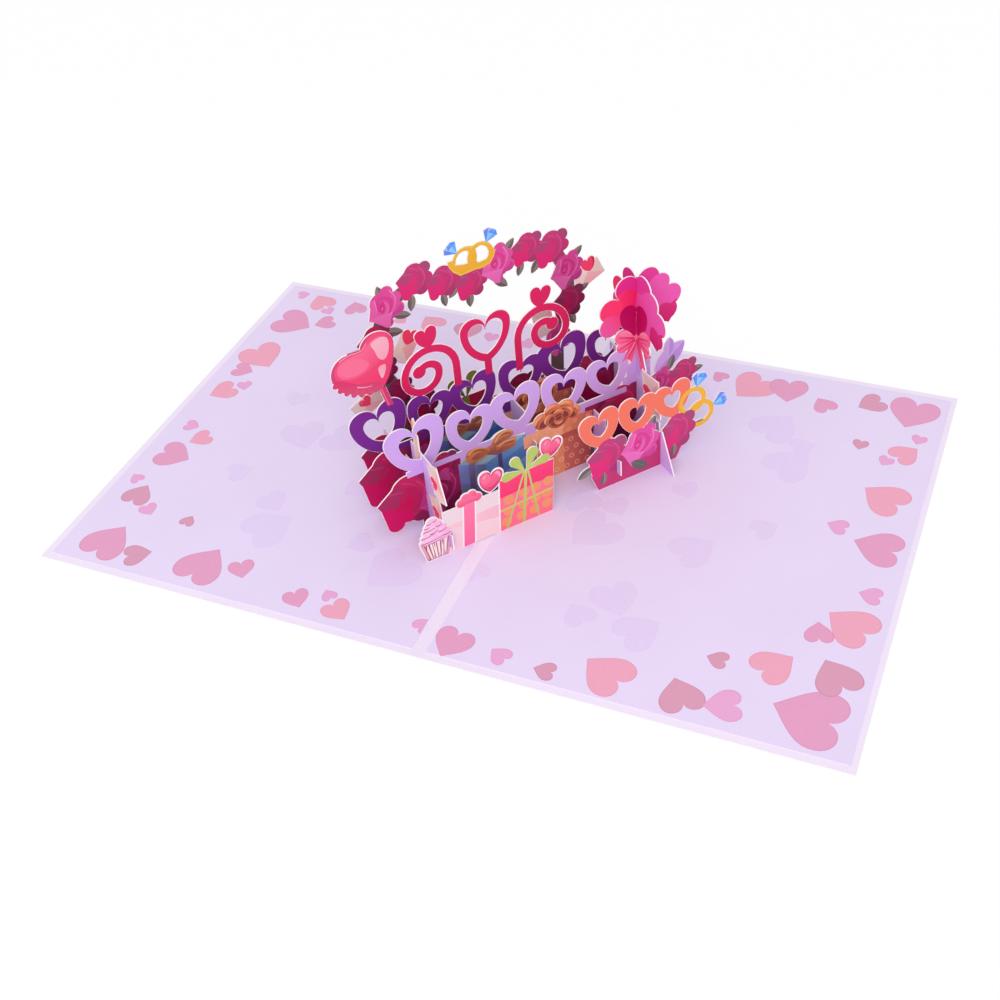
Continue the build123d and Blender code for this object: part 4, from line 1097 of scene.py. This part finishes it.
def draw_roses(art):
    """Front right slice: three roses on a panel, bold open hearts and rings."""
    rim = art.rim
    for x, y, wide, turn in ((76.5, 29.3, 17.5, 6), (93, 29.3, 17.5, -6), (109, 29.3, 17, 6)):
        draw_open_heart(art, x, y, wide, turn, BOLD_OPENING, "bold")
    art.begin()
    art.ground(pairs((75 + rim, FOOT, 111 - rim, FOOT, 115 - rim, 8, 72 + rim, 8)),
               ("base_panel", "base_shade", 76, 0, 112, 0))
    for leaf in ((74, 13, 205, 9), (97, 18, 62, 9), (118, 13, 2, 7)):
        draw_leaf(art, *leaf)
    art.begin()
    for x in (86.8, 102.8):
        art.ground(pairs((x - 3, 7, x + 3, 7, x + 1.6, 14, x - 1.6, 14)), "base_shade")
    draw_rings(art, 120, 21.6, 6.5, 8.6, -63, (72, 16))
    draw_rose(art, 111, 13.4, 9, 0, "crimson")
    draw_rose(art, 79.5, 14.8, 9, 0, "crimson")
    for leaf in ((78, 8, 262, 6.5), (110, 8, 265, 6.5)):
        draw_leaf(art, *leaf)
    draw_rose(art, 94.5, 14, 8.8, 16, "pink")
    art.begin()
    art.mask(box(76, FOOT, 110, 8))
    art.spot = at(90, 7.4, -36)
    art.paint(lens(9.5, 4.6), "leaf_shade")
    art.line("leaf", 0, 0, 5, 0.2, 9, 0, wide=0.25, tip=0.1)


def open_slots(art, sheet):
    """Keeps the print off the slots of a sheet."""
    art.begin()
    for middle, low, high in SLOTS[sheet]:
        art.hole(box(middle - SLOT_WIDTH / 2, low, middle + SLOT_WIDTH / 2, high))


# The cross slices
PANEL_INK = ("panel_light", "panel_shade", 0, 36, 0, -6)


def draw_panels(art, *panels):
    """Plain tinted panels, shaded towards the foot."""
    art.begin()
    for x0, y0, x1, y1 in panels:
        low = y0 - 1 if y0 else FOOT
        art.ground(box(x0 + art.rim, low, x1 - art.rim, y1 - art.rim), PANEL_INK)


def draw_tab(art, up):
    """The tab that passes through the front row, printed as the panel behind it."""
    rim = art.rim
    art.begin()
    art.ground(pairs((23.5, up + rim, 28.15 - rim, up + rim, 28.15 - rim, up + 6.9, 25.95, up + 6.2 - rim,
                      23.5, up + 6.2 - rim)), ("panel_light", "panel", 24, up, 28, up))


def draw_cross_left(art):
    """Candle and two letters on the left cross slice."""
    draw_panels(art, (-28, 0, 24.5, 12), (-28, 0, 15.5, 24), (-0.5, 20, 16.5, 36))
    draw_tab(art, 3.2)
    rim = art.rim
    art.begin()
    art.ground(box(2.5 + rim, 28, 7 - rim, 43 - rim), ("cream", "cream_shade", 3, 0, 7, 0))
    art.ground(box(16.3, 20.8, 17.7, 22.2), "panel_shade")
    art.line("paper_inner", 3.4, 43, 3.6, 39, 3.3, 36, wide=0.9, tip=0.5)
    draw_leaf(art, 4.75, 42, 90, 8, ink="flame", shade="flame_heart", rib=None)
    draw_envelope(art, 19.5, 29, 15, 9, 112)
    draw_envelope(art, 17.5, 13, 15, 9, 106)


def draw_cross_middle(art):
    """Plain panels of the middle cross slice."""
    draw_panels(art, (-28, 0, 11, 22), (-12.5, 20, 5.5, 32))


def draw_cross_inner(art):
    """Plain panels of the inner cross slice."""
    draw_panels(art, (-28, 0, 24.5, 20), (-12.5, 18, 17.5, 25))
    draw_tab(art, 5)


def draw_cross_right(art):
    """Half of the bunch, a letter and a fin on the right cross slice."""
    draw_panels(art, (-11, 0, 13.5, 38), (8.5, 0, 24.5, 20))
    art.begin()
    art.ground(pairs((21.5, FOOT, 35 - 1.6 * art.rim, FOOT, 26.5 - art.rim, 16.5 - art.rim, 21.5,
                      16.5 - art.rim)), ("panel_light", "panel", 22, 10, 34, 0))
    draw_bunch(art, 8.5)
    draw_envelope(art, 18.7, 29.5, 17, 11.5, 96)


# Hearts printed on the pages: x and y from the near left corner, width, tip direction, ink
CORNER = complex(155.0, 99.5)
HEART_EDGE = 0.35
LEFT_HEARTS = (
    (10.6, 190.6, 6, 30, "light"), (22, 187.6, 12.4, 135, "salmon"), (39.8, 187.6, 10.4, 120, "mauve"),
    (28.4, 181.6, 6.2, -45, "light"), (17, 168.4, 19, -9, "mauve"), (31.6, 172.4, 10, -140, "mauve"),
    (16.2, 140.6, 19.5, -40, "salmon"), (13.4, 128.8, 10, 0, "mauve"), (20, 118.8, 6.5, -60, "light"),
    (13, 112.6, 12.6, -131, "salmon"), (12.8, 87.2, 7, 0, "light"), (21.2, 80.8, 10, -133, "salmon"),
    (16, 67.8, 15.6, -5, "mauve"), (9.4, 50.4, 6, 150, "light"), (16, 41.8, 12.4, 85, "brown"),
    (25, 35.4, 7.4, -40, "light"), (44, 34.6, 6.2, 85, "brown"), (20, 14.4, 19.4, 78, "mauve"),
    (35.4, 11.8, 11.4, 34, "brown"), (62.8, 14.8, 19.8, 79, "mauve"), (78.2, 17.8, 10, -56, "mauve"),
    (105.6, 10.8, 9.8, -48, "mauve"), (116.2, 16.2, 6, 140, "light"), (122.8, 10.2, 11, -35, "salmon"),
    (155.6, 13.8, 7.6, 60, "light"), (65, 184.4, 6, -30, "salmon"), (79.4, 187, 12, 145, "salmon"),
    (97.6, 185.4, 13, -80, "brown"), (110, 184, 7, -90, "light"), (127.4, 184, 8, -45, "light"),
)
RIGHT_HEARTS = (
    (168.6, 9.4, 14.6, -100, "mauve"), (186.6, 9.4, 8.2, 153, "light"), (203.8, 7.8, 8.2, 180, "brown"),
    (224, 13.6, 18.4, 154, "salmon"), (250.2, 12.4, 15.6, 121, "brown"),
    (264.6, 12.8, 13.6, 198, "light"), (292, 17.4, 25, 173, "mauve"), (296.4, 36.6, 16.4, 128, "brown"),
    (276, 35, 15.4, 49, "salmon"), (257.4, 31.6, 7.8, 175, "brown"), (296.2, 61, 18.6, 155, "salmon"),
    (286.6, 54.4, 10.2, 104, "mauve"), (299.6, 77.4, 8.6, 175, "light"),
    (297.4, 102.2, 18.4, 172, "mauve"), (281.2, 109, 8.2, 170, "light"),
    (294.4, 129.6, 18, 154, "salmon"), (290.6, 151.4, 6.2, -110, "light"), (297, 157.8, 12, 50, "salmon"),
    (279.4, 158.4, 6.4, -93, "brown"), (300.4, 168, 6.2, -100, "light"), (295.2, 184.2, 20, -98, "mauve"),
    (278.4, 185.6, 12, -140, "brown"), (260.4, 179.2, 10, 132, "mauve"),
    (229.6, 182.6, 18.6, -118, "salmon"), (244.4, 184.6, 16, -82, "mauve"),
    (214.8, 185.8, 7.2, 140, "mauve"),
)
LEFT_FAINT = (
    (47.2, 117.2, 10.6, -88), (62, 95.6, 18.6, -58), (79.4, 98, 17.4, -22), (48.3, 67.2, 11, 34),
    (70.6, 54.8, 12.2, -40), (76.6, 41.2, 20.4, 56), (98.4, 72, 10, -120), (114.8, 44.4, 10.8, -138),
    (132.4, 34.6, 21.4, -118), (160.8, 45, 12.4, 135), (70, 140, 12, -30), (98, 128, 9, 80),
)
RIGHT_FAINT = (
    (245.4, 159.4, 19.4, 60), (258.4, 150.4, 10.4, 30), (256.2, 138.2, 19.4, 55),
    (222.4, 111.2, 10.2, -52), (256.2, 99.5, 11, 42), (200.2, 94, 10.6, -50), (186.6, 94, 14, 120),
    (196.2, 78.6, 21, -118), (234.6, 80.4, 17.4, 50), (215.4, 47.4, 17.4, -57), (205.6, 36.2, 11.8, 138),
    (228.2, 35.2, 17.2, 50), (160.8, 45, 12.4, 135),
)


def draw_page(art, node, hearts, faint):
    """Hearts scattered on one page, the faint ones first."""
    x0, x1 = PAGE_EDGES[node]
    rows = [(*row, "faint") for row in faint] + list(hearts)
    for x, y, wide, tip, ink in rows:
        art.begin()
        art.mask(box(x0, -PAGE_HALF_DEPTH, x1, PAGE_HALF_DEPTH))
        art.spot = at(x - CORNER.real, y - CORNER.imag, tip + 90)
        art.paint(soft_heart(wide), "page_" + ink + "_edge")
        art.paint(soft_heart(wide - 2 * HEART_EDGE), "page_" + ink)


# Finishes
SHEEN = 0.16
GLOSS_SPREAD = 0.07
FIBRE_HEIGHT = 0.00004


def add_node(tree, kind, place=(0, 0), **values):
    """A shader node with some inputs set. An underscore stands for a space in an input's name."""
    node = tree.nodes.new("ShaderNode" + kind)
    node.location = place
    for name, value in values.items():
        node.inputs[name.replace("_", " ")].default_value = value
    return node


def add_math(tree, operation, first, second, place=(0, 0)):
    """A sum or the like of two values, each a socket or a number."""
    node = add_node(tree, "Math", place)
    node.operation = operation
    for socket, value in zip(node.inputs, (first, second)):
        if isinstance(value, float):
            socket.default_value = value
        else:
            tree.links.new(value, socket)
    return node.outputs["Value"]


def grain(tree, coordinates, scale, detail, place):
    """A noise texture on the piece's own coordinates."""
    noise = add_node(tree, "TexNoise", place, Scale=scale, Detail=detail, Roughness=0.6)
    tree.links.new(coordinates.outputs["Object"], noise.inputs["Vector"])
    return noise.outputs["Fac"]


def ranged(tree, value, start, end, low, high, place):
    """A value brought from one range to another."""
    node = add_node(tree, "MapRange", place, From_Min=start, From_Max=end, To_Min=low, To_Max=high)
    tree.links.new(value, node.inputs["Value"])
    return node.outputs["Result"]


def colour_mix(tree, blend, place):
    """A mix of two colours."""
    mix = add_node(tree, "Mix", place)
    mix.data_type = "RGBA"
    mix.blend_type = blend
    return mix


def shader_mix(tree, share, first, second, output):
    """Two shaders mixed into a material's or a world's output."""
    mix = add_node(tree, "MixShader")
    tree.links.new(share, mix.inputs["Fac"])
    tree.links.new(first, mix.inputs[1])
    tree.links.new(second, mix.inputs[2])
    tree.links.new(mix.outputs["Shader"], tree.nodes[output].inputs["Surface"])


def new_material(name):
    """A material with its tree and shader."""
    material = bpy.data.materials.new(name)
    material.use_nodes = True
    return material, material.node_tree, material.node_tree.nodes["Principled BSDF"]


def sheet_finish(name, rough, bump):
    """A paper surface, with uneven gloss and fine fibres, and what its colour is linked to."""
    material, tree, shader = new_material(name)
    shader.inputs["Specular IOR Level"].default_value = SHEEN
    coordinates = add_node(tree, "TexCoord", (-1100, 0))
    uneven = grain(tree, coordinates, 420.0, 3.0, (-800, -200))
    gloss = ranged(tree, uneven, 0.3, 0.7, rough - GLOSS_SPREAD, rough + GLOSS_SPREAD, (-500, -200))
    tree.links.new(gloss, shader.inputs["Roughness"])
    fibres = add_node(tree, "Bump", (-250, -450), Strength=bump, Distance=FIBRE_HEIGHT)
    tree.links.new(grain(tree, coordinates, 2600.0, 4.0, (-800, -500)), fibres.inputs["Height"])
    tree.links.new(fibres.outputs["Normal"], shader.inputs["Normal"])
    return material, tree, shader, coordinates


def tinted_paper(name, colour, depth, rough, bump):
    """Paper of one colour, clouded and flecked by a little."""
    material, tree, shader, coordinates = sheet_finish(name, rough, bump)
    base = linear(colour)
    clouds = grain(tree, coordinates, 28.0, 2.0, (-800, 300))
    flecks = grain(tree, coordinates, 1500.0, 2.0, (-800, 550))
    both = add_math(tree, "ADD", clouds, flecks, (-600, 400))
    mix = colour_mix(tree, "MIX", (-250, 300))
    mix.inputs["A"].default_value = (*(c * (1 - depth) for c in base), 1.0)
    mix.inputs["B"].default_value = (*(min(1.0, c * (1 + depth)) for c in base), 1.0)
    tree.links.new(ranged(tree, both, 0.7, 1.3, 0.0, 1.0, (-430, 400)), mix.inputs["Factor"])
    tree.links.new(mix.outputs["Result"], shader.inputs["Base Color"])
    return material


def printed_ink():
    """Ink on coated card: the colour kept in the sheet, with a faint fleck of the press."""
    name = "printed_ink"
    if name in bpy.data.materials:
        return bpy.data.materials[name]
    material, tree, shader, coordinates = sheet_finish(name, 0.5, 0.12)
    ink = add_node(tree, "Attribute", (-800, 300))
    ink.attribute_name = "ink"
    flecks = grain(tree, coordinates, 1800.0, 3.0, (-800, 550))
    mix = colour_mix(tree, "MULTIPLY", (-250, 300))
    mix.inputs["Factor"].default_value = 1.0
    tree.links.new(ink.outputs["Color"], mix.inputs["A"])
    tree.links.new(ranged(tree, flecks, 0.3, 0.7, 0.965, 1.03, (-500, 550)), mix.inputs["B"])
    tree.links.new(mix.outputs["Result"], shader.inputs["Base Color"])
    return material


def seen_directly(tree):
    """One for what the camera, a mirror or glass sees, none for the light that a surface gathers."""
    path = add_node(tree, "LightPath")
    total = path.outputs["Is Camera Ray"]
    for name in ("Is Glossy Ray", "Is Transmission Ray"):
        total = add_math(tree, "MAXIMUM", total, path.outputs[name])
    return total


def give(node, material):
    """Puts a finish on a node of the card."""
    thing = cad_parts[node]
    if not thing.material_slots:
        thing.data.materials.append(material)
    for slot in thing.material_slots:
        slot.material = material


# Settings
def colour_setting(name, description, code):
    """A colour that a user may change, in display values."""
    return FloatVectorProperty(name=name, description=description, subtype="COLOR_GAMMA", size=3,
                               min=0.0, max=1.0, default=channels(code))


def length_setting(name, description, size):
    """A small length that a user may change, given in millimetres."""
    return FloatProperty(name=name, description=description, unit="LENGTH", precision=5,
                         default=size * MM, min=0.0)


def strength_setting(name, description, value, unit="NONE"):
    """A strength that a user may change."""
    return FloatProperty(name=name, description=description, default=value, min=0.0, unit=unit)


class CardLook(bpy.types.PropertyGroup):
    """Sizes and colours of the papers and prints."""

    rim: length_setting("Bare rim", "Width of bare card round each printed figure", 0.1)
    border: length_setting("Bare border", "Width of bare card round the hearts and the cake", 0.5)
    ink_lift: length_setting("Ink lift", "Height of the printed skin over the card", 0.03)
    cover: colour_setting("Cover", "Card of the cover", "F4E8FB")
    liner: colour_setting("Liners", "Paper of the two pages", "EADBFA")
    core: colour_setting("Core", "Bare card at rims and cut edges", "FBF3F1")
    flourish: colour_setting("Scrolls", "Crimson scrolls of the second row", "DC2460")
    chain_dark: colour_setting("Dark chain", "Open hearts of the second row", "7B2C92")
    chain_light: colour_setting("Pale chain", "Open hearts of the third row", "D0A8EC")
    bold: colour_setting("Bold hearts", "Open hearts at the front", "F37860")


class CardStage(bpy.types.PropertyGroup):
    """Floor, light and camera."""

    floor: colour_setting("Floor", "Colour of the floor", "FFFFFF")
    floor_glow: strength_setting("Floor glow", "Strength of white that the camera sees in the floor", 1.02)
    ambient: strength_setting("Ambient", "Strength of the even light", 0.74)
    key: strength_setting("Key", "Power of the large soft lamp", 15.8, "POWER")
    lens: FloatProperty(name="Lens", description="Focal length", default=49.546, unit="CAMERA")


class CARD_OT_papers(bpy.types.Operator):
    """Give the cover, the liners and the bare card their paper finishes"""

    bl_idname = "card.papers"
    bl_label = "Papers"

    def execute(self, context):
        look = context.scene.card_look
        cover = tinted_paper("cover_card", look.cover, 0.025, 0.6, 0.2)
        liner = tinted_paper("liner_paper", look.liner, 0.02, 0.56, 0.16)
        core = tinted_paper("bare_card", look.core, 0.03, 0.7, 0.25)
        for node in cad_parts:
            give(node, cover if node == "cover" else liner if node in PAGE_EDGES else core)
        return {"FINISHED"}


class CARD_OT_page_prints(bpy.types.Operator):
    """Print the scattered hearts on both pages"""

    bl_idname = "card.page_prints"
    bl_label = "Page prints"

    def execute(self, context):
        pages = (("liner_left", LEFT_HEARTS, LEFT_FAINT), ("liner_right", RIGHT_HEARTS, RIGHT_FAINT))
        for node, hearts, faint in pages:
            art = Print(context.scene.card_look)
            draw_page(art, node, hearts, faint)
            place = sheet_place(Vector((0.0, 0.0, PAGE_TOP)), Vector((1, 0, 0)), Vector((0, 1, 0)), UP)
            art.skin(node + "_hearts", place, -PAGE_SINK, art.lift)
        return {"FINISHED"}


def print_slices(look, draws, place):
    """Draws the prints of some slices and stands each round its card."""
    for slice_name, draw in draws.items():
        art = Print(look)
        draw(art)
        open_slots(art, slice_name)
        half = SHEET_THICKNESS / 2 + art.lift
        art.skin(slice_name + "_print", place(slice_name), -half, half)


class CARD_OT_row_prints(bpy.types.Operator):
    """Print the five rows of figures"""

    bl_idname = "card.row_prints"
    bl_label = "Row prints"

    def execute(self, context):
        print_slices(context.scene.card_look, {
            "arch_row": draw_arch,
            "scroll_row": draw_scrolls,
            "heart_row": draw_hearts,
            "gift_row": draw_gifts,
            "rose_row": draw_roses,
        }, row_place)
        return {"FINISHED"}


class CARD_OT_cross_prints(bpy.types.Operator):
    """Print the four cross slices"""

    bl_idname = "card.cross_prints"
    bl_label = "Cross prints"

    def execute(self, context):
        print_slices(context.scene.card_look, {
            "cross_left": draw_cross_left,
            "cross_middle": draw_cross_middle,
            "cross_inner": draw_cross_inner,
            "cross_right": draw_cross_right,
        }, cross_place)
        return {"FINISHED"}


# Stage
KEY_PLACE, FILL_PLACE = (0.7, -1.6, 1.2), (-0.9, -1.35, 1.2)
FILL_SHARE = 0.25
LAMP_SIZE = 1.3
FLOOR_HALF = 4.0
FLOOR_SHADE, FLOOR_WHITE = 0.86, 0.9
WHITE = (1.0, 1.0, 1.0, 1.0)
CAMERA_AXES = Matrix((
    (0.92146931, -0.20542179, 0.32969106),
    (0.38200939, 0.63313908, -0.67320408),
    (-0.0704495, 0.74628198, 0.66189128),
))
CAMERA_PLACE = Vector((0.176995, -0.375215, 0.354155))


class CARD_OT_stage(bpy.types.Operator):
    """Set the floor, the soft light and the camera"""

    bl_idname = "card.stage"
    bl_label = "Stage"

    def execute(self, context):
        stage = context.scene.card_stage
        self.floor(stage)
        self.light(context, stage)
        self.camera(context, stage)
        context.scene.view_settings.view_transform = "Standard"
        return {"FINISHED"}

    def floor(self, stage):
        """A pale floor that shows white and keeps the card's shadow."""
        bm = bmesh.new()
        bmesh.ops.create_grid(bm, x_segments=1, y_segments=1, size=FLOOR_HALF)
        mesh = bpy.data.meshes.new("floor")
        bm.to_mesh(mesh)
        bm.free()
        floor = bpy.data.objects.new("floor", mesh)
        bpy.context.collection.objects.link(floor)
        material, tree, shader = new_material("floor_white")
        colour = linear(stage.floor)
        shader.inputs["Base Color"].default_value = (*(FLOOR_SHADE * c for c in colour), 1.0)
        shader.inputs["Roughness"].default_value = 0.9
        shader.inputs["Specular IOR Level"].default_value = 0.1
        glow = add_node(tree, "Emission", Color=(*colour, 1.0), Strength=stage.floor_glow)
        share = add_math(tree, "MULTIPLY", seen_directly(tree), FLOOR_WHITE)
        shader_mix(tree, share, shader.outputs["BSDF"], glow.outputs["Emission"], "Material Output")
        mesh.materials.append(material)

    def light(self, context, stage):
        """Even light from all round, a large soft lamp ahead of the card and a weaker one beside it."""
        world = bpy.data.worlds.new("studio")
        world.use_nodes = True
        tree = world.node_tree
        even = tree.nodes["Background"]
        even.inputs["Color"].default_value = WHITE
        even.inputs["Strength"].default_value = stage.ambient
        white = add_node(tree, "Background", Color=WHITE)
        shader_mix(tree, seen_directly(tree), even.outputs["Background"], white.outputs["Background"],
                   "World Output")
        context.scene.world = world
        self.lamp("key_lamp", KEY_PLACE, stage.key)
        self.lamp("fill_lamp", FILL_PLACE, stage.key * FILL_SHARE)

    def lamp(self, name, place, power):
        """A square soft lamp that faces the card."""
        data = bpy.data.lights.new(name, "AREA")
        data.size = LAMP_SIZE
        data.energy = power
        lamp = bpy.data.objects.new(name, data)
        turn = Vector(place).to_track_quat("Z", "Y").to_matrix().to_4x4()
        lamp.matrix_world = Matrix.Translation(place) @ turn
        bpy.context.collection.objects.link(lamp)

    def camera(self, context, stage):
        """The photograph's view."""
        data = bpy.data.cameras.new("view")
        data.lens = stage.lens
        data.sensor_width = 36.0
        data.clip_start = 0.01
        camera = bpy.data.objects.new("view", data)
        camera.matrix_world = Matrix.Translation(CAMERA_PLACE) @ CAMERA_AXES.to_4x4()
        bpy.context.collection.objects.link(camera)
        context.scene.camera = camera


class CARD_PT_panel(bpy.types.Panel):
    """Sidebar panel with the settings and the steps"""

    bl_idname = "CARD_PT_panel"
    bl_label = "Pop-up card"
    bl_space_type = "VIEW_3D"
    bl_region_type = "UI"
    bl_category = "Card"

    def draw(self, context):
        for settings in (context.scene.card_look, context.scene.card_stage):
            for name in settings.__annotations__:
                self.layout.prop(settings, name)
        for step in STEPS:
            self.layout.operator(step.bl_idname)


STEPS = (CARD_OT_papers, CARD_OT_page_prints, CARD_OT_row_prints, CARD_OT_cross_prints, CARD_OT_stage)
CLASSES = (CardLook, CardStage, *STEPS, CARD_PT_panel)


def register():
    """Adds the settings, the steps and the panel to Blender."""
    for cls in CLASSES:
        bpy.utils.register_class(cls)
    bpy.types.Scene.card_look = PointerProperty(type=CardLook)
    bpy.types.Scene.card_stage = PointerProperty(type=CardStage)


def unregister():
    """Takes them out again."""
    del bpy.types.Scene.card_stage
    del bpy.types.Scene.card_look
    for cls in reversed(CLASSES):
        bpy.utils.unregister_class(cls)


def main():
    register()
    bpy.ops.card.papers()
    bpy.ops.card.page_prints()
    bpy.ops.card.row_prints()
    bpy.ops.card.cross_prints()
    bpy.ops.card.stage()


if __name__ == "__main__":
    main()
